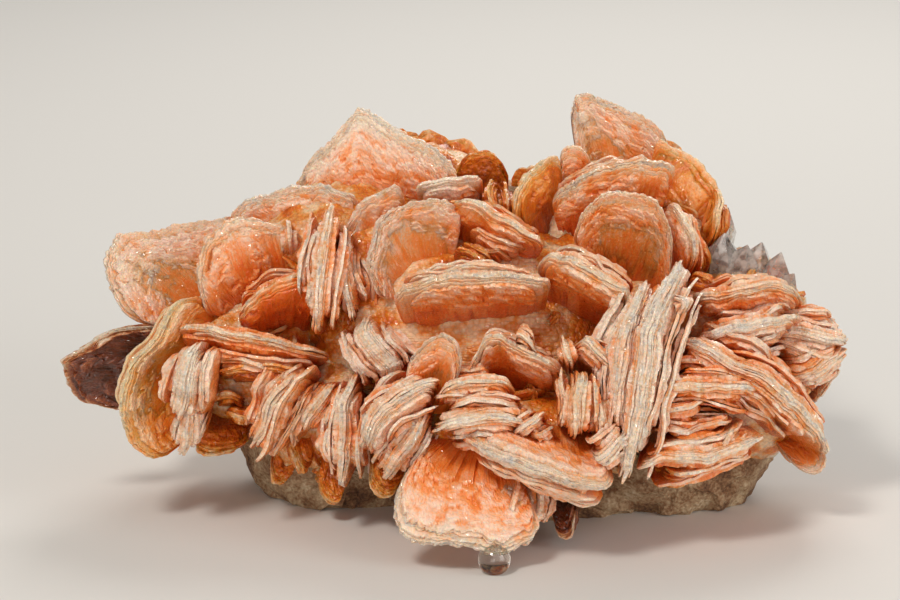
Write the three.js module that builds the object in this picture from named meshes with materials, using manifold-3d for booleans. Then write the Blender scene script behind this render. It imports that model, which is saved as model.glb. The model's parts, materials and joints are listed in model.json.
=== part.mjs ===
// Crested barite: thick-rimmed, curved blades grown from an amber heart on a piece of rough matrix,
// with a patch of quartz and one clear knob. Millimetres, +Z up, standing on the flat cut of the matrix.
//
// A place on the specimen is given as [right, up, out] on its display face: right and up as a viewer
// sees them from VIEW_DISTANCE away, and out towards that viewer. place() turns that into the part's frame.
import * as THREE from "three";
import { ConvexGeometry } from "three/addons/geometries/ConvexGeometry.js";
import { mergeVertices } from "three/addons/utils/BufferGeometryUtils.js";
import Module from "manifold-3d";

const FACE_TILT = THREE.MathUtils.degToRad(15); // how far the display face leans back
const FACE_HEIGHT = 45.2; // centre of the display face above the surface it stands on
const VIEW_DISTANCE = 900; // from there the places on the face were read
const GAP = 0.3; // between crystals that meet but are separate pieces
const RIM_STEP = 9.5; // length of one facet along a blade's rim
const RIM_NOTCH = 1.3; // how far the rim's facets step in and out
const END_FULLNESS = 0.65; // thickness at the ends of a blade's rim, as a share of that at its middle
const REACH = 19; // how far most blades run back from rim to heart

// Share of the way from heart to rim, and of the full thickness, at each row of a blade's section.
const SECTION = [
  [0, 0.8],
  [0.62, 1],
  [1, 0.38],
];

const COLOURS = {
  orange: 0xe88a4a,
  pink: 0xecab8c,
  amber: 0xd98a3c,
  pale: 0xf0d3bd,
  brown: 0x9a5a34,
  rock: 0x9b8468,
  quartz: 0xd8d2c4,
};

// A blade runs back from its rim, a line through hand-set points, towards its two-point root. Its rim is
// thin, and it is as thick as given a third of the way back. It bows out of its plane by bow, and is cut
// short at its reach. facets is given only where a corner of the rim has to fall on a sharp tip.
function blade(thick, rim, root, { bow = 0, reach = REACH, facets } = {}) {
  return { thick, rim, root, bow, reach, facets };
}

// Each crest is one piece: a blade, or blades that overlap and so are grown together.
const CRESTS = {
  left_tip_blade: [
    "brown",
    blade(
      4,
      [
        [-66, -5.5, 6], [-76, -7, 10], [-82, -10, 11], [-88, -13.5, 10], [-87, -18.5, 6],
        [-83.5, -23, 2], [-75, -24.5, 0],
      ],
      [[-56, -8, -4], [-56, -20, -8]],
      { reach: 30 },
    ),
  ],
  left_lobe: [
    "amber",
    blade(
      4.5,
      [
        [-58, 1.5, 12], [-62.5, -1.5, 16], [-66, -8, 20], [-71, -14, 22], [-74, -21, 23],
        [-73.5, -28, 22], [-71, -34, 19], [-66, -37, 17],
      ],
      [[-52, -4, 0], [-52, -26, -4]],
      { bow: 2, reach: 22 },
    ),
  ],
  left_sheaf: [
    "pale",
    blade(
      6.5,
      [[-57, -9, 29], [-59.5, -14, 31], [-61, -20, 31], [-62.5, -27, 28]],
      [[-52, -10, -2], [-53, -24, -4]],
      { reach: 22 },
    ),
    blade(
      5,
      [[-59, -24, 25], [-59.5, -30, 24], [-61, -36.5, 20]],
      [[-54, -18, -2], [-56, -26, -4]],
      { reach: 20 },
    ),
  ],
  left_face_plate: [
    "pink",
    blade(
      5,
      [
        [-73.5, -4, 6], [-76, 1, 6], [-77.8, 8, 5], [-75, 14.5, 3], [-66, 16.3, 0], [-55, 18, -4],
        [-47, 19, -8],
      ],
      [[-54, -10, -4], [-42, 2, -10]],
      { bow: -2, reach: 30 },
    ),
  ],
  long_ledge: [
    "orange",
    blade(
      4,
      [[-63, -6, 16], [-55, -6.5, 20], [-46, -7.5, 22], [-36, -9.5, 19], [-26, -12, 14]],
      [[-56, -16, -6], [-30, -16, -6]],
    ),
  ],
  upper_left_crest: [
    "pink",
    blade(
      6,
      [
        [-35, 27, -9], [-30, 33, -7], [-24.5, 39.5, -6], [-20, 43, -6], [-15, 40.5, -5],
        [-9, 37.5, -3], [-3, 34, -1], [2.5, 28.5, 1],
      ],
      [[-26, 16, -18], [-4, 16, -18]],
      { bow: 3, reach: 26 },
    ),
  ],
  upper_left_ridge: [
    "pink",
    blade(
      5,
      [[-51, 19.5, -4], [-45, 22.5, -3], [-38, 24.5, -1], [-31, 26.5, 0], [-26, 25.5, 2], [-20, 23.5, 4]],
      [[-42, 6, -14], [-22, 8, -14]],
      { reach: 20 },
    ),
  ],
  rayed_bowl: [
    "orange",
    blade(
      4,
      [
        [-55.5, -3, 9], [-57, 5, 11], [-57, 11.5, 12], [-54, 15.5, 12], [-49, 18.5, 10],
        [-43, 18.5, 8], [-37, 17, 7], [-32, 15, 6],
      ],
      [[-48, -5, -4], [-34, -1, -6]],
      { bow: 2.5, reach: 26 },
    ),
    blade(
      2.4,
      [[-36.4, 20.5, 8], [-36.6, 16, 10], [-36.2, 11, 10]],
      [[-36, 12, -4], [-36, 6, -4]],
      { reach: 9 },
    ),
  ],
  eyelid_crest: [
    "orange",
    blade(
      4.4,
      [
        [-48.5, -4, 16], [-46, -1, 18], [-42, 3, 20], [-37, 5.7, 21], [-33, 5.8, 20],
        [-31, 3.5, 18], [-31, -1, 16],
      ],
      [[-44, -8, -2], [-32, -8, -4]],
      { bow: 1 },
    ),
  ],
  spear_blade: [
    "pale",
    blade(
      4.4,
      [[-26.5, 23, 15], [-27.5, 17, 20], [-28.7, 8, 23], [-29.4, 0, 24], [-30, -8, 20]],
      [[-26, 14, -6], [-28, -8, -6]],
      { reach: 20 },
    ),
  ],
  second_spear: [
    "pale",
    blade(
      3.6,
      [[-25, 15, 12], [-24.3, 9, 17], [-23, 3, 19], [-21.5, -4.5, 17]],
      [[-23, 10, -6], [-21, -6, -6]],
    ),
  ],
  white_strut: [
    "pale",
    blade(
      6,
      [[-19.5, -3, 20], [-19.2, -8, 25], [-16.5, -12, 28], [-13, -16, 27], [-13, -21, 24]],
      [[-17, -6, -2], [-12, -18, -2]],
    ),
  ],
  swirl_plate: [
    "pink",
    blade(
      4.4,
      [
        [-16.5, 1, 17], [-18.5, 8, 17], [-17, 14, 17], [-14.5, 20, 16], [-10, 22.5, 15],
        [-3, 23, 15], [3, 22, 13],
      ],
      [[-9, 0, 2], [-1, 2, 0]],
      { bow: -3, reach: 24 },
    ),
  ],
  swirl_back_plate: [
    "pink",
    blade(
      4,
      [[-24.5, 11, 6], [-23.5, 17, 7], [-20, 22, 8], [-15, 25.5, 8], [-11, 26, 7]],
      [[-18, 6, -6], [-8, 10, -8]],
    ),
  ],
  cavity_roof: [
    "orange",
    blade(
      3.8,
      [[-1, 23.5, 13], [5, 22, 16], [10, 19.8, 18], [15, 17, 19], [22, 13, 19]],
      [[2, 10, -6], [18, 6, -6]],
    ),
    blade(
      2.6,
      [[4.5, 17.3, 15], [9, 15, 17], [13, 13.7, 17], [18, 12.8, 15]],
      [[5, 9, -6], [17, 6, -6]],
      { reach: 14 },
    ),
  ],
  top_step: [
    "pink",
    blade(3.4, [[-8, 25.5, 9], [-3, 27, 9], [2, 28, 8], [7, 28.5, 6]], [[-6, 16, -10], [8, 16, -12]]),
  ],
  top_fan: [
    "amber",
    blade(
      4,
      [[13.8, 20, 8], [15.5, 26, 8], [18.5, 30, 6], [21.7, 32.5, 4], [24.5, 33, 2]],
      [[18, 10, -6], [26, 14, -10]],
    ),
  ],
  top_round: [
    "orange",
    blade(
      3.4,
      [[24.4, 30, 1], [25, 34, 0], [27.5, 35, 0], [30, 34, 0], [32.5, 30.5, 1]],
      [[26, 18, -12], [32, 18, -12]],
    ),
  ],
  peak_plate: [
    "pale",
    blade(
      5,
      [
        [28, 34, -11], [27.2, 41, -11], [28.6, 47.2, -13], [34, 45.7, -13], [40, 43.3, -13],
        [45, 40.8, -13], [50, 35, -11],
      ],
      [[32, 20, -22], [48, 18, -22]],
      { bow: -2, reach: 24, facets: 3 },
    ),
  ],
  amber_plate: [
    "amber",
    blade(
      3.6,
      [[47, 36, -8], [54, 32.7, -7], [58, 29.3, -6], [60.5, 26.8, -5], [61.5, 22, -5], [60.5, 15, -6]],
      [[42, 18, -16], [52, 6, -14]],
      { bow: 3, reach: 18 },
    ),
    blade(
      2.8,
      [[60.8, 27.4, -2], [60.8, 22, 0], [59.5, 14, 0]],
      [[56, 18, -18], [56, 8, -16]],
      { reach: 10 },
    ),
  ],
  sweeping_crest: [
    "orange",
    blade(
      5.4,
      [
        [22, 23.5, 4], [27, 26, 8], [31, 28.8, 10], [36, 31, 11], [42, 31.8, 11], [48, 31, 9],
        [51.5, 29.8, 7],
      ],
      [[26, 10, -8], [44, 12, -12]],
    ),
  ],
  round_plate: [
    "orange",
    blade(
      4,
      [
        [27, 15, 17], [31, 21.5, 18], [35, 24.6, 19], [40, 24.6, 19], [45, 23.3, 18], [49, 19, 17],
        [50, 13, 16], [50, 7, 15],
      ],
      [[32, 2, 0], [46, 0, 0]],
      { bow: -2, reach: 24 },
    ),
  ],
  jagged_blade: [
    "orange",
    blade(
      3.4,
      [[49, 22.6, 6], [52, 20.5, 9], [54, 16.5, 12], [55.5, 12.5, 12], [55.5, 8.5, 11]],
      [[50, 10, -6], [52, 2, -4]],
      { reach: 14 },
    ),
  ],
  centre_shelf: [
    "orange",
    blade(
      4.6,
      [[-13, 1, 23], [-9.5, 3.4, 27], [-4, 5, 30], [3, 6, 31], [11, 6.2, 31], [18, 5.8, 30], [24, 5, 28]],
      [[-8, -12, -2], [20, -10, -4]],
    ),
  ],
  centre_shelf_end: [
    "orange",
    blade(
      4.8,
      [
        [19.5, 8, 26], [23, 10.5, 29], [27, 10, 31], [31, 7.8, 32], [35, 5.3, 32], [39, 2.4, 32],
        [41.5, -1.5, 30],
      ],
      [[22, -6, -4], [36, -10, -2]],
    ),
  ],
  front_lobe: [
    "pale",
    blade(
      4.2,
      [
        [-10, -16, 35], [-8.3, -12, 38], [-5, -8.6, 39], [-2, -7, 39], [1.2, -9, 39],
        [2.6, -13, 39], [2, -17, 39],
      ],
      [[-9, -25, 27], [0, -25, 28]],
      { bow: -1, reach: 16 },
    ),
  ],
  front_slope: [
    "pale",
    blade(
      6.5,
      [[-2, -17.5, 41], [-8, -20, 42], [-14, -23, 42], [-18, -27.5, 40], [-20.5, -33.5, 36]],
      [[-4, -24, 2], [-12, -34, 2]],
    ),
    blade(
      5.5,
      [[-5, -24, 38], [-8, -30, 38], [-13, -37, 36], [-16, -41, 32]],
      [[-4, -24, 2], [-12, -34, 2]],
      { reach: 16 },
    ),
  ],
  front_ridge: [
    "orange",
    blade(
      3.8,
      [
        [3.8, -15, 38], [5.7, -12.5, 37], [8, -9, 36], [11, -7.8, 36], [14, -10, 36],
        [18, -12, 37], [22, -13.5, 37], [26, -16, 36],
      ],
      [[4, -26, 4], [24, -24, 2]],
    ),
    blade(
      2.2,
      [[14.8, -11, 38], [15, -7.4, 38], [17.5, -8.3, 38], [20, -11.5, 37]],
      [[15, -14, 6], [19, -15, 6]],
      { reach: 9 },
    ),
  ],
  lens_ledge: [
    "orange",
    blade(
      3,
      [[-3.5, -22.5, 38], [0, -20, 41], [5, -18.6, 43], [11, -18.2, 43], [15.5, -19.3, 41]],
      [[-1, -27, 6], [14, -27, 4]],
      { reach: 15 },
    ),
  ],
  front_feather: [
    "pale",
    blade(
      5,
      [[-4.5, -29, 43], [0, -27.5, 46], [5, -26.8, 47], [11, -26.8, 47], [18, -26.8, 45]],
      [[-2, -28, 8], [16, -28, 8]],
      { reach: 16 },
    ),
  ],
  front_carpet: [
    "pale",
    blade(
      5.4,
      [
        [3, -32, 43], [9, -34.5, 47], [14, -36.5, 49], [20, -39, 49], [26, -41.5, 49],
        [33, -42.5, 48], [38, -42, 45],
      ],
      [[8, -20, 12], [34, -24, 12]],
      { reach: 19 },
    ),
    blade(
      3.6,
      [[14, -31, 44], [18, -28, 46], [21.5, -25, 44]],
      [[15, -31, 8], [21, -30, 8]],
      { reach: 16 },
    ),
  ],
  bottom_lobe: [
    "pink",
    blade(
      5,
      [
        [-5, -34.5, 36], [-10, -39, 39], [-12.3, -44.5, 42], [-12, -50, 44], [-8.5, -53.5, 45],
        [-2, -55.2, 46], [5, -56, 46], [12, -57, 45], [18, -55, 43], [20.5, -51.5, 40],
      ],
      [[-5, -32, 28], [14, -36, 28]],
      { bow: -2, reach: 26 },
    ),
    blade(
      2.6,
      [[15.5, -40, 39], [14.2, -45, 42], [12.8, -50, 43]],
      [[14, -36, 8], [12, -40, 8]],
      { reach: 12 },
    ),
    blade(
      3,
      [[20.5, -42, 38], [21, -48, 38], [18.5, -53, 40]],
      [[17, -34, 8], [14, -38, 8]],
      { reach: 14 },
    ),
  ],
  tall_sheaf: [
    "pale",
    blade(
      7,
      [
        [52.5, 10, 26], [49.7, 4, 34], [47, -3, 39], [44.5, -10, 43], [43, -18, 45],
        [42.3, -26, 46], [40.5, -35, 46], [38, -43, 45],
      ],
      [[48, 2, 0], [40, -30, 0]],
      { reach: 24 },
    ),
    blade(
      5.4,
      [[44.6, 5, 31], [43, 0, 37], [40, -6, 40], [38.6, -13, 42], [38.3, -22, 43], [38.5, -31, 43]],
      [[44, 0, 0], [38, -26, 0]],
      { reach: 20 },
    ),
    blade(3.8, [[50, 1.5, 36], [53.7, 0, 38], [52, -3.5, 37]], [[49, -2, 6], [48, -6, 6]], { reach: 12 }),
    blade(
      4.2,
      [[40.5, -29.5, 46], [37, -33, 49], [33, -36, 49], [31.5, -34.5, 47]],
      [[38, -28, 8], [34, -30, 8]],
      { reach: 15 },
    ),
  ],
  small_block: [
    "orange",
    blade(
      6.4,
      [[29, -15, 43], [29, -19, 45], [29, -25, 45], [28, -32, 43]],
      [[28, -20, 4], [27, -28, 4]],
      { reach: 20 },
    ),
    blade(
      3,
      [[25.2, -7.4, 38], [26.2, -11, 41], [27.4, -15, 42]],
      [[26, -14, 4], [27, -20, 4]],
      { reach: 14 },
    ),
  ],
  slope_fringe: [
    "orange",
    blade(
      4.6,
      [[33.5, -21, 41], [34.3, -27, 43], [34.5, -31, 43]],
      [[31, -21, 4], [31, -28, 4]],
      { reach: 17 },
    ),
  ],
  block_crest: [
    "orange",
    blade(
      3.6,
      [[27.5, -9.7, 37], [30, -8.7, 39], [33.5, -11, 40], [36.5, -14.5, 39]],
      [[28, -22, 4], [35, -24, 4]],
      { reach: 14 },
    ),
  ],
  right_shelf: [
    "orange",
    blade(
      5,
      [[53.5, 0.3, 16], [60, 2, 18], [66, 3.4, 18], [72, 4.2, 16], [76.5, 3, 13], [80, -0.3, 10]],
      [[56, -8, -8], [74, -6, -10]],
    ),
  ],
  right_feather: [
    "pale",
    blade(
      4.4,
      [[55, -8, 22], [62, -7, 24], [68, -6, 23], [74, -4.6, 21], [80, -3.4, 17]],
      [[58, -12, -6], [74, -9, -8]],
    ),
  ],
  right_fan: [
    "pale",
    blade(
      5,
      [[72, -6, 10], [79, -7.3, 13], [85, -8.7, 14], [91.5, -10, 12]],
      [[68, -8, -8], [76, -10, -10]],
      { reach: 20 },
    ),
    blade(
      4,
      [[79, -2, 5], [84, -3.8, 8], [87.5, -6.7, 10], [91.2, -9.4, 10]],
      [[70, -4, -12], [76, -9, -12]],
      { reach: 18 },
    ),
    blade(
      5.6,
      [[91, -10.7, 12], [87, -13.3, 14], [82.5, -17, 16], [77.5, -19, 14]],
      [[78, -10, -10], [70, -15, -8]],
      { reach: 20 },
    ),
  ],
  side_blade: [
    "brown",
    blade(
      3,
      [[88.5, -12, -6], [88, -16, -6], [85, -20, -6], [82.5, -25, -6]],
      [[72, -8, -18], [70, -18, -18]],
      { reach: 20 },
    ),
  ],
  long_diagonal: [
    "pale",
    blade(
      7,
      [
        [50.5, -8, 27], [56, -10.5, 31], [62, -12.8, 33], [69, -16, 33], [75, -20.5, 30],
        [80, -25.5, 27], [84, -31, 24], [85.5, -36, 20],
      ],
      [[56, -18, -4], [68, -26, -8]],
      { reach: 20 },
    ),
    blade(
      4,
      [[86, -35, 19], [83.5, -39, 16], [79, -38.5, 14], [75, -34.5, 13]],
      [[70, -24, -6], [64, -20, -6]],
      { reach: 18 },
    ),
  ],
  middle_ledge: [
    "pale",
    blade(
      5,
      [[46, -19.5, 37], [51, -18.9, 39], [57, -18.9, 39], [63, -19.7, 37], [70, -20.7, 32]],
      [[48, -22, -2], [64, -22, -4]],
      { reach: 20 },
    ),
    blade(
      3.8,
      [[44.5, -23.5, 38], [49, -24.3, 39], [54, -24, 38], [58, -22.3, 36]],
      [[46, -25, 0], [56, -24, 0]],
      { reach: 18 },
    ),
  ],
  lower_ledge: [
    "pale",
    blade(
      5,
      [[42, -38, 39], [46, -36.5, 41], [52, -36.3, 41], [59, -35.6, 39], [65, -34, 37], [71, -31.3, 32]],
      [[44, -29, 0], [62, -25, -4]],
      { reach: 20 },
    ),
    blade(
      3,
      [[61.5, -34.5, 38], [63.3, -31, 37.5], [65, -29, 36]],
      [[58, -29, 4], [61, -27, 4]],
      { reach: 14 },
    ),
  ],
  diagonal_blade: [
    "orange",
    blade(
      2.6,
      [[-31, -13.5, 25], [-36, -20, 27], [-40, -28, 26], [-44.5, -37.5, 22]],
      [[-28, -18, -2], [-34, -28, -2]],
    ),
    blade(
      6,
      [[-34, -16, 24], [-39, -22, 25], [-43, -29, 23], [-46, -34, 20]],
      [[-31, -18, -2], [-36, -28, -2]],
    ),
  ],
  fibre_fan: [
    "orange",
    blade(
      5,
      [[-26.5, -18, 23], [-30, -23.5, 24], [-34.5, -30, 21]],
      [[-24, -18, -2], [-28, -28, -2]],
      { reach: 15 },
    ),
  ],
  hanging_sheaf: [
    "pale",
    blade(
      4.8,
      [[-21.8, -16, 25], [-23.5, -24, 28], [-24.7, -32, 28], [-24.5, -38, 26], [-24, -43.5, 22]],
      [[-20, -18, 0], [-20, -34, 0]],
    ),
    blade(
      3.4,
      [[-27, -28, 23], [-28, -34, 24], [-26.5, -39, 22]],
      [[-21, -26, 0], [-21, -34, 0]],
      { reach: 14 },
    ),
  ],
  dark_sheaf: [
    "brown",
    blade(
      3.6,
      [[23.5, -50, 28], [25, -54, 30], [27, -54, 30], [28.5, -48, 29]],
      [[22, -34, 8], [29, -34, 8]],
      { reach: 22 },
    ),
  ],
  back_left_crest: [
    "pink",
    blade(
      4.4,
      [[-50, 10, -28], [-59, 4, -31], [-63, -5, -32], [-60, -15, -30], [-52, -21, -28]],
      [[-38, 4, -20], [-38, -14, -20]],
      { bow: 2 },
    ),
  ],
  back_top_left_crest: [
    "pale",
    blade(
      4.6,
      [[-20, 28, -26], [-10, 32.5, -29], [0, 33.5, -32], [9, 30.5, -33], [16, 25.5, -32]],
      [[-8, 14, -28], [10, 12, -28]],
    ),
  ],
  back_top_right_crest: [
    "pale",
    blade(
      4.2,
      [[20, 27, -32], [27, 31, -36], [35, 30, -39], [42, 24, -40]],
      [[22, 12, -28], [36, 10, -30]],
    ),
  ],
  back_right_crest: [
    "pink",
    blade(
      4.4,
      [[64, 13, -24], [74, 8, -27], [80, -1, -28], [80, -12, -27], [74, -20, -25]],
      [[58, 2, -18], [58, -14, -18]],
      { bow: 2, reach: 20 },
    ),
  ],
  back_shoulder_crest: [
    "pale",
    blade(
      4,
      [[-46, 17, -28], [-40, 21, -33], [-31, 22, -37], [-23, 18, -38]],
      [[-38, 4, -24], [-26, 4, -28]],
    ),
  ],
};

// The small blades that stand in the hollows between the crests. They are part of the heart.
const HEART_BLADES = [
  blade(
    3.2,
    [[-53, -15.5, 16], [-46, -15, 18], [-38, -15.3, 18], [-33, -16.5, 15]],
    [[-50, -20, -6], [-34, -21, -6]],
    { reach: 12 },
  ),
  blade(
    2.8,
    [[-56, -22.5, 13], [-51, -21.8, 16], [-46, -23, 15]],
    [[-52, -22, -6], [-44, -24, -6]],
    { reach: 16 },
  ),
  blade(
    2.8,
    [[-51.5, -26.5, 16], [-48, -27, 17], [-44, -27, 15]],
    [[-48, -24, -4], [-42, -24, -4]],
    { reach: 16 },
  ),
  blade(
    3.6,
    [[-57.5, -30, 13], [-57, -34, 14], [-53, -34.5, 14], [-46, -34, 12]],
    [[-52, -24, -2], [-44, -25, -2]],
    { reach: 20 },
  ),
  blade(4.4, [[-37, -32, 14], [-35, -37, 15], [-33, -41.5, 14]], [[-32, -22, -2], [-30, -28, -2]]),
  blade(
    3.4,
    [[-41, -37.5, 5], [-39.5, -42, 6], [-36.5, -42, 6]],
    [[-36, -25, -6], [-30, -26, -6]],
    { reach: 20 },
  ),
  blade(
    4.4,
    [[-30.5, -40.5, 12], [-28.5, -45.5, 13], [-25.5, -46.5, 13], [-24, -44, 12]],
    [[-26, -28, 0], [-20, -30, 0]],
    { reach: 20 },
  ),
  blade(
    4.6,
    [[-18, -36, 20], [-17.5, -42, 21], [-14, -45, 21], [-11, -42, 21]],
    [[-14, -26, 4], [-8, -28, 4]],
  ),
  blade(2, [[0.5, 12.7, 17], [4, 10.6, 18], [9, 7.8, 17]], [[2, 4, -4], [9, 2, -4]], { reach: 12 }),
  blade(2, [[2, 14.5, 13], [6, 11.8, 15], [11, 8.6, 15]], [[3, 6, -4], [10, 3, -4]], { reach: 12 }),
  blade(3, [[1, 32, -4], [4, 33.5, -4], [9, 34, -4], [13, 31, -3]], [[2, 19, -16], [13, 18, -16]]),
  blade(3.2, [[9.3, 29, 4], [8.6, 25, 7], [9.8, 20.5, 8]], [[9, 18, -10], [9, 12, -8]], { reach: 20 }),
  blade(3.2, [[12, 28.5, 3], [12.3, 24, 6], [12.8, 20, 7]], [[12, 18, -10], [12, 12, -8]], { reach: 20 }),
  blade(
    3.4,
    [[14, 30, -16], [18, 30.3, -16], [22, 30.4, -16]],
    [[14, 18, -22], [22, 18, -22]],
    { reach: 12 },
  ),
  blade(3, [[56.5, 15, 4], [58, 12, 6], [59.5, 9.5, 5]], [[54, 8, -8], [57, 4, -8]], { reach: 18 }),
  blade(3, [[54, 6.5, 9], [57, 5.5, 10], [59.5, 3.5, 9]], [[54, 0, -6], [58, -2, -6]], { reach: 12 }),
  blade(3.2, [[45, -41, 24], [50, -42, 25], [56, -40, 24]], [[46, -31, 4], [54, -30, 4]], { reach: 14 }),
  blade(3, [[70, -8, 4], [75, -10.5, 6], [79, -12.5, 6]], [[66, -8, -8], [70, -12, -8]], { reach: 12 }),
];

// Lumps of massive barite that fill the heart: centre and half sizes on the display face.
const HEART_LUMPS = [
  [[8, -8, -4], [42, 27, 21]],
  [[14, -31, 10], [30, 13, 24]],
  [[58, -24, 4], [24, 14, 22]],
  [[62, -5, -8], [23, 13, 18]],
  [[-48, -14, -8], [25, 20, 19]],
  [[-52, 3, -17], [22, 12, 13]],
  [[-24, 9, -10], [24, 18, 18]],
  [[-12, 25, -18], [22, 12, 12]],
  [[36, 17, -13], [25, 15, 14]],
  [[40, 28, -27], [12, 9, 8]],
  [[42, -2, -4], [15, 10, 13]],
  [[3, -42, 20], [13, 10, 12]],
  [[-29, -26, -2], [15, 15, 15]],
];

// Blocks of matrix: centre and half sizes in the part's own frame.
const MATRIX_BLOCKS = [
  [[4, 22, 28], [42, 19, 38]],
  [[-34, 16, 34], [27, 17, 26]],
  [[46, 16, 30], [30, 17, 32]],
  [[16, 2, 6], [40, 28, 18]],
  [[50, -2, 12], [26, 20, 20]],
  [[-24, 6, 10], [27, 22, 22]],
];

// Quartz crystals: foot and tip on the display face, and width across.
const QUARTZ = [
  [[61, 3, -10], [62.5, 15, -2], 8],
  [[64, 2, -12], [66, 12.3, 0], 8.5],
  [[67, 1, -14], [69.2, 13, -3], 9],
  [[71, 0, -14], [73.6, 9.8, -2], 8],
  [[73, -2, -13], [76.5, 6, -3], 7],
  [[60, 8, -14], [63.2, 21, -9], 6],
];

const KNOB_CENTRE = [10, -58.4, 44];
const KNOB_RADIUS = 3.5;
const LUMP_CORNERS = 18; // corners of the hull of one lump or block
const LUMP_SEED = 11;
const LUMP_PUSH = [0.86, 1.08]; // how far a lump's corners lie from its centre, as shares of its half size
const GOLDEN_ANGLE = Math.PI * (3 - Math.sqrt(5)); // from one corner to the next, which spreads them evenly
const QUARTZ_PRISM = 0.62; // share of a quartz crystal's length that is prism, below its point
const MOST_FACETS = 7; // along any blade's rim
const FLOOR_CUT = 400; // side of the block that takes away all below the floor

const wasm = await Module();
wasm.setup();

function place([right, up, out]) {
  const shrink = (VIEW_DISTANCE - out) / VIEW_DISTANCE;
  const upward = up * shrink;
  return new THREE.Vector3(
    right * shrink,
    upward * Math.sin(FACE_TILT) - out * Math.cos(FACE_TILT),
    upward * Math.cos(FACE_TILT) + out * Math.sin(FACE_TILT) + FACE_HEIGHT,
  );
}

const inFrame = (point) => new THREE.Vector3(...point);

// Repeatable numbers from 0 to 1.
function seeded(seed) {
  let state = seed;
  return () => {
    state = (state * 16807) % 2147483647;
    return (state % 10007) / 10007;
  };
}

// A closed geometry as a solid, its faces turned outwards.
function solidFrom(geometry) {
  const bare = new THREE.BufferGeometry().setAttribute("position", geometry.getAttribute("position"));
  if (geometry.index) bare.setIndex(geometry.index);
  const merged = mergeVertices(bare, 1e-4);
  const triVerts = new Uint32Array(merged.index.array);
  const vertProperties = merged.attributes.position.array;
  const corner = [0, 1, 2].map(() => new THREE.Vector3());
  let sixVolumes = 0;
  for (let i = 0; i < triVerts.length; i += 3) {
    corner.forEach((c, k) => c.fromArray(vertProperties, triVerts[i + k] * 3));
    sixVolumes += corner[0].dot(corner[1].cross(corner[2]));
  }
  if (sixVolumes < 0) triVerts.reverse();
  return new wasm.Manifold(new wasm.Mesh({ numProp: 3, vertProperties, triVerts }));
}

// Two grids of points, front and back, rows x columns, joined round their edges into one closed skin.
function closedSkin(front, back) {
  const rows = front.length;
  const columns = front[0].length;
  const at = (side, row, column) => side * rows * columns + row * columns + column;
  const index = [];
  const quad = (a, b, c, d) => index.push(a, b, c, a, c, d);
  for (let r = 0; r + 1 < rows; r++)
    for (let c = 0; c + 1 < columns; c++) {
      quad(at(0, r, c), at(0, r, c + 1), at(0, r + 1, c + 1), at(0, r + 1, c));
      quad(at(1, r, c), at(1, r + 1, c), at(1, r + 1, c + 1), at(1, r, c + 1));
    }
  for (let c = 0; c + 1 < columns; c++) {
    quad(at(0, 0, c), at(1, 0, c), at(1, 0, c + 1), at(0, 0, c + 1));
    quad(at(0, rows - 1, c), at(0, rows - 1, c + 1), at(1, rows - 1, c + 1), at(1, rows - 1, c));
  }
  for (let r = 0; r + 1 < rows; r++) {
    quad(at(0, r, 0), at(0, r + 1, 0), at(1, r + 1, 0), at(1, r, 0));
    const last = columns - 1;
    quad(at(0, r, last), at(1, r, last), at(1, r + 1, last), at(0, r + 1, last));
  }
  const points = [...front.flat(), ...back.flat()].flatMap((p) => p.toArray());
  const position = new THREE.BufferAttribute(new Float32Array(points), 3);
  return new THREE.BufferGeometry().setAttribute("position", position).setIndex(index);
}

// One blade as a solid. grow makes the same blade larger all round, to cut its neighbours.
function bladeSolid({ thick, rim, root, bow, reach, facets: given }, grow = 0) {
  const rimCurve = new THREE.CatmullRomCurve3(rim.map(place));
  const [rootStart, rootEnd] = root.map(place);
  const steps = Math.round(rimCurve.getLength() / RIM_STEP);
  const facets = given ?? THREE.MathUtils.clamp(steps, 2, MOST_FACETS);
  const middle = rimCurve.getPointAt(0.5);
  const heart = rootStart.clone().lerp(rootEnd, 0.5);
  const span = middle.distanceTo(heart);
  const kept = Math.min(1, reach / span);
  const across = rimCurve.getPointAt(1).sub(rimCurve.getPointAt(0));
  const normal = across.cross(middle.clone().sub(heart)).normalize();
  const front = [];
  const back = [];
  SECTION.forEach(([share, fullness], row) => {
    front.push([]);
    back.push([]);
    for (let i = 0; i <= facets; i++) {
      const along = i / facets;
      const notch = row === SECTION.length - 1 ? ((i % 2) - 0.5) * RIM_NOTCH : 0;
      const stretch = 1 - (1 - share) * kept + (share * (grow + notch) - (1 - share) * grow) / span;
      const point = rootStart.clone().lerp(rootEnd, along).lerp(rimCurve.getPointAt(along), stretch);
      point.addScaledVector(normal, bow * Math.sin(Math.PI * share) * Math.sin(Math.PI * along));
      const taper = END_FULLNESS + (1 - END_FULLNESS) * Math.sin(Math.PI * along);
      const half = (thick * fullness * taper) / 2 + grow;
      front[row].push(point.clone().addScaledVector(normal, half));
      back[row].push(point.addScaledVector(normal, -half));
    }
  });
  return solidFrom(closedSkin(front, back));
}

// A faceted lump: the hull of points spread evenly over an ellipsoid and pushed in and out at random.
function lumpSolid([centre, size], toFrame, seed, grow = 0) {
  const random = seeded(seed);
  const points = [];
  for (let i = 0; i < LUMP_CORNERS; i++) {
    const height = 1 - (2 * i + 1) / LUMP_CORNERS;
    const turn = i * GOLDEN_ANGLE;
    const ring = Math.sqrt(1 - height * height);
    const push = THREE.MathUtils.lerp(...LUMP_PUSH, random());
    const direction = [ring * Math.cos(turn), height, ring * Math.sin(turn)];
    points.push(toFrame(direction.map((d, k) => centre[k] + d * (push * size[k] + grow))));
  }
  return solidFrom(new ConvexGeometry(points));
}

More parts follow.
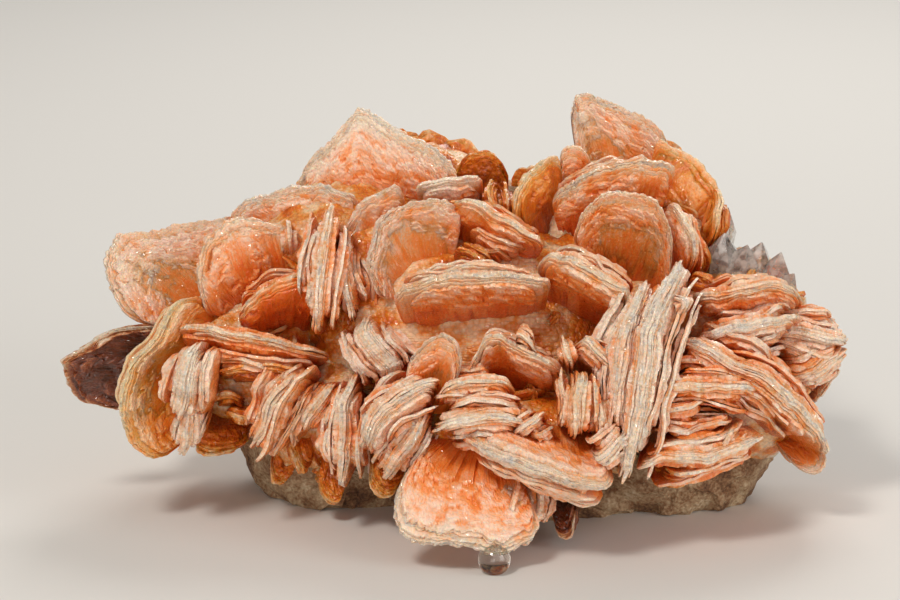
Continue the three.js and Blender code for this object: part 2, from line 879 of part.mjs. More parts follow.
// A six-sided quartz crystal: a prism with a pointed end.
function quartzSolid([foot, tip, width], grow = 0) {
  const from = place(foot);
  const to = place(tip);
  const length = from.distanceTo(to);
  const radius = width / 2 + grow;
  const outline = [
    [0, 0],
    [radius, 0],
    [radius, length * QUARTZ_PRISM],
    [0, length + grow],
  ].map(([r, h]) => new THREE.Vector2(r, h));
  const geometry = new THREE.LatheGeometry(outline, 6);
  const upright = new THREE.Vector3(0, 1, 0);
  const axis = to.clone().sub(from).normalize();
  geometry.applyQuaternion(new THREE.Quaternion().setFromUnitVectors(upright, axis));
  geometry.translate(from.x, from.y, from.z);
  return solidFrom(geometry);
}

// The clear rounded knob, a little flattened where it rests.
function knobSolid(grow = 0) {
  const geometry = new THREE.IcosahedronGeometry(KNOB_RADIUS + grow, 1);
  const at = place(KNOB_CENTRE);
  geometry.translate(at.x, at.y, at.z);
  const position = geometry.getAttribute("position");
  for (let i = 0; i < position.count; i++) position.setZ(i, Math.max(-grow, position.getZ(i)));
  return solidFrom(geometry);
}

const joined = (solids) => solids.reduce((a, b) => a.add(b));
const crestSolid = (blades, grow) => joined(blades.map((b) => bladeSolid(b, grow)));
const quartzPatch = (grow) => joined(QUARTZ.map((crystal) => quartzSolid(crystal, grow)));
const matrixBlocks = (grow) =>
  joined(MATRIX_BLOCKS.map((block, i) => lumpSolid(block, inFrame, LUMP_SEED + 7 * i, grow)));

const heartMass = (grow) =>
  joined(HEART_LUMPS.map((lump, i) => lumpSolid(lump, place, LUMP_SEED + 3 * i, grow)));

// The matrix, sawn off flat at the surface it stands on.
function matrixSolid(grow) {
  const below = new THREE.BoxGeometry(FLOOR_CUT, FLOOR_CUT, FLOOR_CUT);
  below.translate(0, 0, -FLOOR_CUT / 2 - grow);
  return matrixBlocks(grow).subtract(solidFrom(below));
}

const cutOut = (solid, neighbours) => neighbours.reduce((a, b) => a.subtract(b), solid);
const largestBody = (solid) => solid.decompose().reduce((a, b) => (b.volume() > a.volume() ? b : a));
const trimmed = (solid, neighbours) => largestBody(cutOut(solid, neighbours));

function meshFrom(solid, name, colour, roughness) {
  const { numProp, vertProperties, triVerts } = solid.getMesh();
  const position = new Float32Array((vertProperties.length / numProp) * 3);
  for (let i = 0; i * numProp < vertProperties.length; i++)
    position.set(vertProperties.subarray(i * numProp, i * numProp + 3), i * 3);
  const geometry = new THREE.BufferGeometry()
    .setAttribute("position", new THREE.BufferAttribute(position, 3))
    .setIndex(new THREE.BufferAttribute(triVerts, 1));
  geometry.computeVertexNormals();
  const look = { color: COLOURS[colour], roughness, metalness: 0, flatShading: true };
  const material = new THREE.MeshStandardMaterial(look);
  const mesh = new THREE.Mesh(geometry, material);
  mesh.name = name;
  return mesh;
}

const cluster = new THREE.Group();
cluster.add(meshFrom(matrixSolid(0), "matrix_rock", "rock", 0.85));
cluster.add(meshFrom(knobSolid(), "clear_knob", "quartz", 0.1));
const rockAndKnob = [matrixSolid(GAP), knobSolid(GAP)];
const heartCutter = heartMass(GAP);
const crestCutters = [];
for (const [name, [colour, ...blades]] of Object.entries(CRESTS)) {
  const crest = trimmed(crestSolid(blades, 0), [...rockAndKnob, heartCutter, ...crestCutters]);
  cluster.add(meshFrom(crest, name, colour, 0.4));
  crestCutters.push(crestSolid(blades, GAP));
}
const hollowBlades = cutOut(crestSolid(HEART_BLADES, 0), [...rockAndKnob, ...crestCutters]);
const heart = largestBody(cutOut(heartMass(0), rockAndKnob).add(hollowBlades));
cluster.add(meshFrom(heart, "amber_heart", "amber", 0.35));
const aroundQuartz = [...rockAndKnob, heartCutter, ...crestCutters, crestSolid(HEART_BLADES, GAP)];
cluster.add(meshFrom(trimmed(quartzPatch(0), aroundQuartz), "quartz_patch", "quartz", 0.12));

export default cluster;
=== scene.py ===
"""Dresses the solids of a crested barite specimen: ragged, layered crests over an amber heart, rough
matrix, a patch of quartz and one clear knob, on a plain pale floor in soft light."""

import json
import math

import bpy
import numpy as np
from bpy.props import FloatProperty, IntProperty, PointerProperty, StringProperty
from bpy.types import Operator, Panel, PropertyGroup
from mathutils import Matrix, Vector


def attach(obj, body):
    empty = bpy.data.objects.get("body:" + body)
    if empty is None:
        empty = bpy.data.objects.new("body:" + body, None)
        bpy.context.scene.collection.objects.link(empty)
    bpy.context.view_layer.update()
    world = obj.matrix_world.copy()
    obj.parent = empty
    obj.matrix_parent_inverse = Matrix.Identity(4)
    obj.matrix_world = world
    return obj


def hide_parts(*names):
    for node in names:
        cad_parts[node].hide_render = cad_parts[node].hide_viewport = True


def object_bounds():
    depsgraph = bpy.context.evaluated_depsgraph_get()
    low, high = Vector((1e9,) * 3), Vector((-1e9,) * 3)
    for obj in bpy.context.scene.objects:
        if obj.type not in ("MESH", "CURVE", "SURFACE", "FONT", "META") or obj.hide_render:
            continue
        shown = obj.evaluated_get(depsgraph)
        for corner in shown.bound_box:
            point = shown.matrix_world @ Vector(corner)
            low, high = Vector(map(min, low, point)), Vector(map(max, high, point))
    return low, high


bl_info = {
    "name": "Crested barite specimen",
    "version": (1, 0, 0),
    "blender": (4, 5, 0),
    "location": "View3D > Sidebar > Barite",
    "description": "Builds the visible crystals of a crested barite specimen around its solids",
    "category": "Add Mesh",
}

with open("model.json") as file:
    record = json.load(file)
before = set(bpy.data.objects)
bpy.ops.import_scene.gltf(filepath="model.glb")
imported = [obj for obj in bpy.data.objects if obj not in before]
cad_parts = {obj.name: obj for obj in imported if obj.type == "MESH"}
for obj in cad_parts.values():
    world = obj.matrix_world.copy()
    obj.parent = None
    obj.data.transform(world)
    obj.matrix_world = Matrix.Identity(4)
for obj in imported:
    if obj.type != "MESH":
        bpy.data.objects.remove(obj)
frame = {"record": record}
CAD_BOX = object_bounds()

# Driving dimensions, in mm unless they say otherwise.
MM = 0.001  # in the metres of the frame
FACE_TILT = math.radians(15)  # how far the display face leans back
FACE_HEIGHT = 45.2  # centre of the display face above the surface it stands on
VIEW_DISTANCE = 900  # from there the places on the face were read
FLOOR_SIDE = 6000

# The blades of the crests.
REACH = 19  # how far most blades run back from rim to heart
SUNK = 4  # how much farther than the solids the plates run into the heart
FULLEST = 0.62  # share of the way from foot to rim at which a blade is fullest
RIM_FULLNESS = 0.6  # width over which its plates fan out at the rim, as a share of its full thickness
FOOT_FULLNESS = 0.8  # thickness at its foot, the same way
END_FULLNESS = 0.65  # thickness at the ends of a blade's rim, as a share of that at its middle
LEAST_PLATES = 3  # in one blade's stack
MOST_PLATES = 16
MOST_FACING = 0.75  # how far towards the viewer a blade's normal points where it shows its face
EDGE_ON = 0.25  # and where it shows only its rim
SWAY = 2.6  # how far a blade's rim sways out of its plane
SWAY_RUN = 8  # here and below, a run is the length of such a wave
SET_BACK = 2.2  # how far the outermost plates' rims lie behind the middle ones
CORNER_ROUNDING = 2.4  # radius in the sheet's plane at both ends of a rim
OUTER_SHORT = 0.2  # how far the outer plates of an edge-on blade fall short at each end, as a share of it
RIM_MARGIN = 0.5  # how far all rims stay behind the solids' own, so that the waves stay inside their box

# The ragged rims of their plates.
LONG_WAVE = 3.4  # how far a rim's long waves swing
LONG_WAVE_RUN = 7
SHORT_WAVE = 1.2  # and its short waves
SHORT_WAVE_RUN = 2.4
FIBRE_WIDTH = 0.9  # of the fibres whose ends make a rim ragged
LEAST_FRAY = 0.25  # how far these ends step on every rim
FRAY = 1.0  # how much farther they step where a crest is frayed
SCALLOP = 1.9  # length of one scallop along a scaly rim
SCALLOP_DEPTH = 0.8
OWN_RAGGEDNESS = 0.45  # how much of a plate's ragged rim is its own; the rest it shares with its blade
RIM_INFLUENCE = 3.5  # depth over which a ragged rim's steps fade out
RIM_SHARE = 1.12  # thickness of one plate at its rim, as a share of its place in the stack
INNER_SHARE = 1.3  # behind its rim a plate is this much thicker than its place, so that it meets the next
GROOVE_DEPTH = 0.5  # behind the rims the plates of a stack meet
GROWN_RUN = 4.5  # length over which a plate is free of its neighbours or grown together with them
FLUTTER = 0.7  # how far a plate's rim flutters, as a share of its place in the stack
FLUTTER_RUN = 2.9
LEAST_COLUMNS = 10  # points along one plate's rim
MOST_COLUMNS = 170

# The faces of the outermost plates.
OUTERMOST = 0.99  # a plate at a higher level than this in its stack shows its face
DETAIL_DEPTH = 0.62  # share of a blade's reach that is finely shaped, from the rim
SCALE_HEIGHT = 0.8  # of the scales on a face
SMALL_SCALE_HEIGHT = 0.35  # of the small ones among them
SMALL_SCALE = 0.45  # width of the small scales, as a share of that of the others
SCALE_PATCH = 5.5  # length of the patches that scales cover
RAY_LENGTH = 5.0  # of the rays on a face without scales
RAY_WIDTH = 0.7
RAY_HEIGHT = 0.35
SWELL = 1.0  # how far a face swells
SWELL_RUN = 7

# The lesser blades beside a blade.
LONG_BLADE = 20  # a longer blade than this has two rows of lesser blades beside it
SHORTEST_BLADE = 9  # and a shorter one than this has none
SIDE_SET_BACK = [1.5, 4.0]  # how far a lesser blade's rim lies behind its blade's
SIDE_GAP = [0.3, 1.2]  # how far it stands off its blade
SIDE_ROW = 2.2  # from one row of lesser blades to the next
SIDE_THICK = [1.6, 2.6]
SIDE_REACH = [8, 12]
SIDE_BAND = 0.7  # width of the pale band of the lesser blades beside a blade, as a share of its own band

# The lumps of the heart, the blocks of the matrix and the small blades on the lumps.
LUMP_SEED = 11  # the solids' lumps and blocks take their forms from it too
LUMP_CORNERS = 18  # corners that give one lump or block its form
LUMP_PUSH = [0.86, 1.08]  # how far those corners lie from the centre, as shares of the half size
LUMP_SHARPNESS = 14  # the higher it is, the flatter the facets between the corners
LUMP_COLUMNS = [40, 150]  # fewest and most columns of a lump's points
LUMP_ROWS = [24, 80]  # and rows
GOLDEN_ANGLE = math.pi * (3 - math.sqrt(5))  # from one corner to the next, which spreads them evenly
CLOUD_SWING = 4.0  # how far the colour of a lump swings between frosted and deep
CLOUD_RUN = 4.5
DRUSE_BLADES = 11  # small blades on the hidden side of each lump of the heart
FRONT_BLADES = 4  # and on its front
DRUSE_PROUD = [1.0, 3.0]  # how far they stand out of it
DRUSE_HALF_LENGTH = [4, 7.5]
DRUSE_THICK = [1.4, 2.8]
DRUSE_REACH = [5, 8]
DRUSE_ROOT = 0.45  # where their roots lie, as a share of the way out from the lump's middle

# The quartz and the knob.
QUARTZ_PRISM = 0.62  # share of a quartz crystal's length that is prism, below its point
KNOB_CENTRE = [10, -58.4, 44]
KNOB_RADIUS = 3.5
KNOB_GRID = [33, 64]  # rows and columns of its points

# The glints of the frost.
GLINT_SIZE = 0.45  # of the tiny facets that glint in the frost
GLINT_TILT = 1.6  # how far they lean, as a share of the normal's length

# Repeatable random numbers.
HASH_STEP = 2654435769  # 2**32 over the golden ratio: an odd number that mixes bits well
SEED_STEP = 16807  # in the solids' own generator each seed is the one before times this
SEED_RANGE = 2**31 - 1  # and what is left after division by this
SEED_PARTS = 10007  # its numbers are whole parts of 1 divided by this

# Which piece of the record's list takes which material slot.
SLOTS = {part["node"]: part["material_slot"] for part in frame["record"]["subparts"]}


def blade(thick, rim, root, bow=0, reach=REACH):
    """A blade: its thickness, the points [right, up, out] of its rim on the display face, and its
    two-point root. It bows outwards by bow and runs back from the rim by reach."""
    return {"thick": thick, "rim": rim, "root": root, "bow": bow, "reach": reach}


# The blades of each crest, as the solids have them, from the left of the display face to the right and the
# back last.
CRESTS = {
    "left_tip_blade": [
        blade(4, [[-66, -5.5, 6], [-76, -7, 10], [-82, -10, 11], [-88, -13.5, 10], [-87, -18.5, 6],
                  [-83.5, -23, 2], [-75, -24.5, 0]], [[-56, -8, -4], [-56, -20, -8]], reach=30),
    ],
    "left_lobe": [
        blade(4.5, [[-58, 1.5, 12], [-62.5, -1.5, 16], [-66, -8, 20], [-71, -14, 22], [-74, -21, 23],
                    [-73.5, -28, 22], [-71, -34, 19], [-66, -37, 17]],
              [[-52, -4, 0], [-52, -26, -4]], bow=2, reach=22),
    ],
    "left_sheaf": [
        blade(6.5, [[-57, -9, 29], [-59.5, -14, 31], [-61, -20, 31], [-62.5, -27, 28]],
              [[-52, -10, -2], [-53, -24, -4]], reach=22),
        blade(5, [[-59, -24, 25], [-59.5, -30, 24], [-61, -36.5, 20]],
              [[-54, -18, -2], [-56, -26, -4]], reach=20),
    ],
    "left_face_plate": [
        blade(5, [[-73.5, -4, 6], [-76, 1, 6], [-77.8, 8, 5], [-75, 14.5, 3], [-66, 16.3, 0],
                  [-55, 18, -4], [-47, 19, -8]], [[-54, -10, -4], [-42, 2, -10]], bow=-2, reach=30),
    ],
    "long_ledge": [
        blade(4, [[-63, -6, 16], [-55, -6.5, 20], [-46, -7.5, 22], [-36, -9.5, 19], [-26, -12, 14]],
              [[-56, -16, -6], [-30, -16, -6]]),
    ],
    "upper_left_crest": [
        blade(6, [[-35, 27, -9], [-30, 33, -7], [-24.5, 39.5, -6], [-20, 43, -6], [-15, 40.5, -5],
                  [-9, 37.5, -3], [-3, 34, -1], [2.5, 28.5, 1]],
              [[-26, 16, -18], [-4, 16, -18]], bow=3, reach=26),
    ],
    "upper_left_ridge": [
        blade(5, [[-51, 19.5, -4], [-45, 22.5, -3], [-38, 24.5, -1], [-31, 26.5, 0], [-26, 25.5, 2],
                  [-20, 23.5, 4]], [[-42, 6, -14], [-22, 8, -14]], reach=20),
    ],
    "rayed_bowl": [
        blade(4, [[-55.5, -3, 9], [-57, 5, 11], [-57, 11.5, 12], [-54, 15.5, 12], [-49, 18.5, 10],
                  [-43, 18.5, 8], [-37, 17, 7], [-32, 15, 6]],
              [[-48, -5, -4], [-34, -1, -6]], bow=2.5, reach=26),
        blade(2.4, [[-36.4, 20.5, 8], [-36.6, 16, 10], [-36.2, 11, 10]],
              [[-36, 12, -4], [-36, 6, -4]], reach=9),
    ],
    "eyelid_crest": [
        blade(4.4, [[-48.5, -4, 16], [-46, -1, 18], [-42, 3, 20], [-37, 5.7, 21], [-33, 5.8, 20],
                    [-31, 3.5, 18], [-31, -1, 16]], [[-44, -8, -2], [-32, -8, -4]], bow=1),
    ],
    "spear_blade": [
        blade(4.4, [[-26.5, 23, 15], [-27.5, 17, 20], [-28.7, 8, 23], [-29.4, 0, 24], [-30, -8, 20]],
              [[-26, 14, -6], [-28, -8, -6]], reach=20),
    ],
    "second_spear": [
        blade(3.6, [[-25, 15, 12], [-24.3, 9, 17], [-23, 3, 19], [-21.5, -4.5, 17]],
              [[-23, 10, -6], [-21, -6, -6]]),
    ],
    "white_strut": [
        blade(6, [[-19.5, -3, 20], [-19.2, -8, 25], [-16.5, -12, 28], [-13, -16, 27], [-13, -21, 24]],
              [[-17, -6, -2], [-12, -18, -2]]),
    ],
    "swirl_plate": [
        blade(4.4, [[-16.5, 1, 17], [-18.5, 8, 17], [-17, 14, 17], [-14.5, 20, 16], [-10, 22.5, 15],
                    [-3, 23, 15], [3, 22, 13]], [[-9, 0, 2], [-1, 2, 0]], bow=-3, reach=24),
    ],
    "swirl_back_plate": [
        blade(4, [[-24.5, 11, 6], [-23.5, 17, 7], [-20, 22, 8], [-15, 25.5, 8], [-11, 26, 7]],
              [[-18, 6, -6], [-8, 10, -8]]),
    ],
    "cavity_roof": [
        blade(3.8, [[-1, 23.5, 13], [5, 22, 16], [10, 19.8, 18], [15, 17, 19], [22, 13, 19]],
              [[2, 10, -6], [18, 6, -6]]),
        blade(2.6, [[4.5, 17.3, 15], [9, 15, 17], [13, 13.7, 17], [18, 12.8, 15]],
              [[5, 9, -6], [17, 6, -6]], reach=14),
    ],
    "top_step": [
        blade(3.4, [[-8, 25.5, 9], [-3, 27, 9], [2, 28, 8], [7, 28.5, 6]], [[-6, 16, -10], [8, 16, -12]]),
    ],
    "top_fan": [
        blade(4, [[13.8, 20, 8], [15.5, 26, 8], [18.5, 30, 6], [21.7, 32.5, 4], [24.5, 33, 2]],
              [[18, 10, -6], [26, 14, -10]]),
    ],
    "top_round": [
        blade(3.4, [[24.4, 30, 1], [25, 34, 0], [27.5, 35, 0], [30, 34, 0], [32.5, 30.5, 1]],
              [[26, 18, -12], [32, 18, -12]]),
    ],
    "peak_plate": [
        blade(5, [[28, 34, -11], [27.2, 41, -11], [28.6, 47.2, -13], [34, 45.7, -13], [40, 43.3, -13],
                  [45, 40.8, -13], [50, 35, -11]], [[32, 20, -22], [48, 18, -22]], bow=-2, reach=24),
    ],
    "amber_plate": [
        blade(3.6, [[47, 36, -8], [54, 32.7, -7], [58, 29.3, -6], [60.5, 26.8, -5], [61.5, 22, -5],
                    [60.5, 15, -6]], [[42, 18, -16], [52, 6, -14]], bow=3, reach=18),
        blade(2.8, [[60.8, 27.4, -2], [60.8, 22, 0], [59.5, 14, 0]],
              [[56, 18, -18], [56, 8, -16]], reach=10),
    ],
    "sweeping_crest": [
        blade(5.4, [[22, 23.5, 4], [27, 26, 8], [31, 28.8, 10], [36, 31, 11], [42, 31.8, 11], [48, 31, 9],
                    [51.5, 29.8, 7]], [[26, 10, -8], [44, 12, -12]]),
    ],
    "round_plate": [
        blade(4, [[27, 15, 17], [31, 21.5, 18], [35, 24.6, 19], [40, 24.6, 19], [45, 23.3, 18],
                  [49, 19, 17], [50, 13, 16], [50, 7, 15]], [[32, 2, 0], [46, 0, 0]], bow=-2, reach=24),
    ],
    "jagged_blade": [
        blade(3.4, [[49, 22.6, 6], [52, 20.5, 9], [54, 16.5, 12], [55.5, 12.5, 12], [55.5, 8.5, 11]],
              [[50, 10, -6], [52, 2, -4]], reach=14),
    ],
    "centre_shelf": [
        blade(4.6, [[-13, 1, 23], [-9.5, 3.4, 27], [-4, 5, 30], [3, 6, 31], [11, 6.2, 31], [18, 5.8, 30],
                    [24, 5, 28]], [[-8, -12, -2], [20, -10, -4]]),
    ],
    "centre_shelf_end": [
        blade(4.8, [[19.5, 8, 26], [23, 10.5, 29], [27, 10, 31], [31, 7.8, 32], [35, 5.3, 32],
                    [39, 2.4, 32], [41.5, -1.5, 30]], [[22, -6, -4], [36, -10, -2]]),
    ],
    "front_lobe": [
        blade(4.2, [[-10, -16, 35], [-8.3, -12, 38], [-5, -8.6, 39], [-2, -7, 39], [1.2, -9, 39],
                    [2.6, -13, 39], [2, -17, 39]], [[-9, -25, 27], [0, -25, 28]], bow=-1, reach=16),
    ],
    "front_slope": [
        blade(6.5, [[-2, -17.5, 41], [-8, -20, 42], [-14, -23, 42], [-18, -27.5, 40], [-20.5, -33.5, 36]],
              [[-4, -24, 2], [-12, -34, 2]]),
        blade(5.5, [[-5, -24, 38], [-8, -30, 38], [-13, -37, 36], [-16, -41, 32]],
              [[-4, -24, 2], [-12, -34, 2]], reach=16),
    ],
    "front_ridge": [
        blade(3.8, [[3.8, -15, 38], [5.7, -12.5, 37], [8, -9, 36], [11, -7.8, 36], [14, -10, 36],
                    [18, -12, 37], [22, -13.5, 37], [26, -16, 36]], [[4, -26, 4], [24, -24, 2]]),
        blade(2.2, [[14.8, -11, 38], [15, -7.4, 38], [17.5, -8.3, 38], [20, -11.5, 37]],
              [[15, -14, 6], [19, -15, 6]], reach=9),
    ],
    "lens_ledge": [
        blade(3, [[-3.5, -22.5, 38], [0, -20, 41], [5, -18.6, 43], [11, -18.2, 43], [15.5, -19.3, 41]],
              [[-1, -27, 6], [14, -27, 4]], reach=15),
    ],
    "front_feather": [
        blade(5, [[-4.5, -29, 43], [0, -27.5, 46], [5, -26.8, 47], [11, -26.8, 47], [18, -26.8, 45]],
              [[-2, -28, 8], [16, -28, 8]], reach=16),
    ],
    "front_carpet": [
        blade(5.4, [[3, -32, 43], [9, -34.5, 47], [14, -36.5, 49], [20, -39, 49], [26, -41.5, 49],
                    [33, -42.5, 48], [38, -42, 45]], [[8, -20, 12], [34, -24, 12]], reach=19),
        blade(3.6, [[14, -31, 44], [18, -28, 46], [21.5, -25, 44]], [[15, -31, 8], [21, -30, 8]], reach=16),
    ],
    "bottom_lobe": [
        blade(5, [[-5, -34.5, 36], [-10, -39, 39], [-12.3, -44.5, 42], [-12, -50, 44], [-8.5, -53.5, 45],
                  [-2, -55.2, 46], [5, -56, 46], [12, -57, 45], [18, -55, 43], [20.5, -51.5, 40]],
              [[-5, -32, 28], [14, -36, 28]], bow=-2, reach=26),
        blade(2.6, [[15.5, -40, 39], [14.2, -45, 42], [12.8, -50, 43]],
              [[14, -36, 8], [12, -40, 8]], reach=12),
        blade(3, [[20.5, -42, 38], [21, -48, 38], [18.5, -53, 40]], [[17, -34, 8], [14, -38, 8]], reach=14),
    ],
    "tall_sheaf": [
        blade(7, [[52.5, 10, 26], [49.7, 4, 34], [47, -3, 39], [44.5, -10, 43], [43, -18, 45],
                  [42.3, -26, 46], [40.5, -35, 46], [38, -43, 45]], [[48, 2, 0], [40, -30, 0]], reach=24),
        blade(5.4, [[44.6, 5, 31], [43, 0, 37], [40, -6, 40], [38.6, -13, 42], [38.3, -22, 43],
                    [38.5, -31, 43]], [[44, 0, 0], [38, -26, 0]], reach=20),
        blade(3.8, [[50, 1.5, 36], [53.7, 0, 38], [52, -3.5, 37]], [[49, -2, 6], [48, -6, 6]], reach=12),
        blade(4.2, [[40.5, -29.5, 46], [37, -33, 49], [33, -36, 49], [31.5, -34.5, 47]],
              [[38, -28, 8], [34, -30, 8]], reach=15),
    ],
    "small_block": [
        blade(6.4, [[29, -15, 43], [29, -19, 45], [29, -25, 45], [28, -32, 43]],
              [[28, -20, 4], [27, -28, 4]], reach=20),
        blade(3, [[25.2, -7.4, 38], [26.2, -11, 41], [27.4, -15, 42]],
              [[26, -14, 4], [27, -20, 4]], reach=14),
    ],
    "slope_fringe": [
        blade(4.6, [[33.5, -21, 41], [34.3, -27, 43], [34.5, -31, 43]],
              [[31, -21, 4], [31, -28, 4]], reach=17),
    ],
    "block_crest": [
        blade(3.6, [[27.5, -9.7, 37], [30, -8.7, 39], [33.5, -11, 40], [36.5, -14.5, 39]],
              [[28, -22, 4], [35, -24, 4]], reach=14),
    ],
    "right_shelf": [
        blade(5, [[53.5, 0.3, 16], [60, 2, 18], [66, 3.4, 18], [72, 4.2, 16], [76.5, 3, 13],
                  [80, -0.3, 10]], [[56, -8, -8], [74, -6, -10]]),
    ],
    "right_feather": [
        blade(4.4, [[55, -8, 22], [62, -7, 24], [68, -6, 23], [74, -4.6, 21], [80, -3.4, 17]],
              [[58, -12, -6], [74, -9, -8]]),
    ],
    "right_fan": [
        blade(5, [[72, -6, 10], [79, -7.3, 13], [85, -8.7, 14], [91.5, -10, 12]],
              [[68, -8, -8], [76, -10, -10]], reach=20),
        blade(4, [[79, -2, 5], [84, -3.8, 8], [87.5, -6.7, 10], [91.2, -9.4, 10]],
              [[70, -4, -12], [76, -9, -12]], reach=18),
        blade(5.6, [[91, -10.7, 12], [87, -13.3, 14], [82.5, -17, 16], [77.5, -19, 14]],
              [[78, -10, -10], [70, -15, -8]], reach=20),
    ],
    "side_blade": [
        blade(3, [[88.5, -12, -6], [88, -16, -6], [85, -20, -6], [82.5, -25, -6]],
              [[72, -8, -18], [70, -18, -18]], reach=20),
    ],
    "long_diagonal": [
        blade(7, [[50.5, -8, 27], [56, -10.5, 31], [62, -12.8, 33], [69, -16, 33], [75, -20.5, 30],
                  [80, -25.5, 27], [84, -31, 24], [85.5, -36, 20]],
              [[56, -18, -4], [68, -26, -8]], reach=20),
        blade(4, [[86, -35, 19], [83.5, -39, 16], [79, -38.5, 14], [75, -34.5, 13]],
              [[70, -24, -6], [64, -20, -6]], reach=18),
    ],
    "middle_ledge": [
        blade(5, [[46, -19.5, 37], [51, -18.9, 39], [57, -18.9, 39], [63, -19.7, 37], [70, -20.7, 32]],
              [[48, -22, -2], [64, -22, -4]], reach=20),
        blade(3.8, [[44.5, -23.5, 38], [49, -24.3, 39], [54, -24, 38], [58, -22.3, 36]],
              [[46, -25, 0], [56, -24, 0]], reach=18),
    ],
    "lower_ledge": [
        blade(5, [[42, -38, 39], [46, -36.5, 41], [52, -36.3, 41], [59, -35.6, 39], [65, -34, 37],
                  [71, -31.3, 32]], [[44, -29, 0], [62, -25, -4]], reach=20),
        blade(3, [[61.5, -34.5, 38], [63.3, -31, 37.5], [65, -29, 36]],
              [[58, -29, 4], [61, -27, 4]], reach=14),
    ],
    "diagonal_blade": [
        blade(2.6, [[-31, -13.5, 25], [-36, -20, 27], [-40, -28, 26], [-44.5, -37.5, 22]],
              [[-28, -18, -2], [-34, -28, -2]]),
        blade(6, [[-34, -16, 24], [-39, -22, 25], [-43, -29, 23], [-46, -34, 20]],
              [[-31, -18, -2], [-36, -28, -2]]),
    ],
    "fibre_fan": [
        blade(5, [[-26.5, -18, 23], [-30, -23.5, 24], [-34.5, -30, 21]],
              [[-24, -18, -2], [-28, -28, -2]], reach=15),
    ],
    "hanging_sheaf": [
        blade(4.8, [[-21.8, -16, 25], [-23.5, -24, 28], [-24.7, -32, 28], [-24.5, -38, 26],
                    [-24, -43.5, 22]], [[-20, -18, 0], [-20, -34, 0]]),
        blade(3.4, [[-27, -28, 23], [-28, -34, 24], [-26.5, -39, 22]],
              [[-21, -26, 0], [-21, -34, 0]], reach=14),
    ],
    "dark_sheaf": [
        blade(3.6, [[23.5, -50, 28], [25, -54, 30], [27, -54, 30], [28.5, -48, 29]],
              [[22, -34, 8], [29, -34, 8]], reach=22),
    ],
    "back_left_crest": [
        blade(4.4, [[-50, 10, -28], [-59, 4, -31], [-63, -5, -32], [-60, -15, -30], [-52, -21, -28]],
              [[-38, 4, -20], [-38, -14, -20]], bow=2),
    ],
    "back_top_left_crest": [
        blade(4.6, [[-20, 28, -26], [-10, 32.5, -29], [0, 33.5, -32], [9, 30.5, -33], [16, 25.5, -32]],
              [[-8, 14, -28], [10, 12, -28]]),
    ],
    "back_top_right_crest": [
        blade(4.2, [[20, 27, -32], [27, 31, -36], [35, 30, -39], [42, 24, -40]],
              [[22, 12, -28], [36, 10, -30]]),
    ],
    "back_right_crest": [
        blade(4.4, [[64, 13, -24], [74, 8, -27], [80, -1, -28], [80, -12, -27], [74, -20, -25]],
              [[58, 2, -18], [58, -14, -18]], bow=2, reach=20),
    ],
    "back_shoulder_crest": [
        blade(4, [[-46, 17, -28], [-40, 21, -33], [-31, 22, -37], [-23, 18, -38]],
              [[-38, 4, -24], [-26, 4, -28]]),
    ],
}

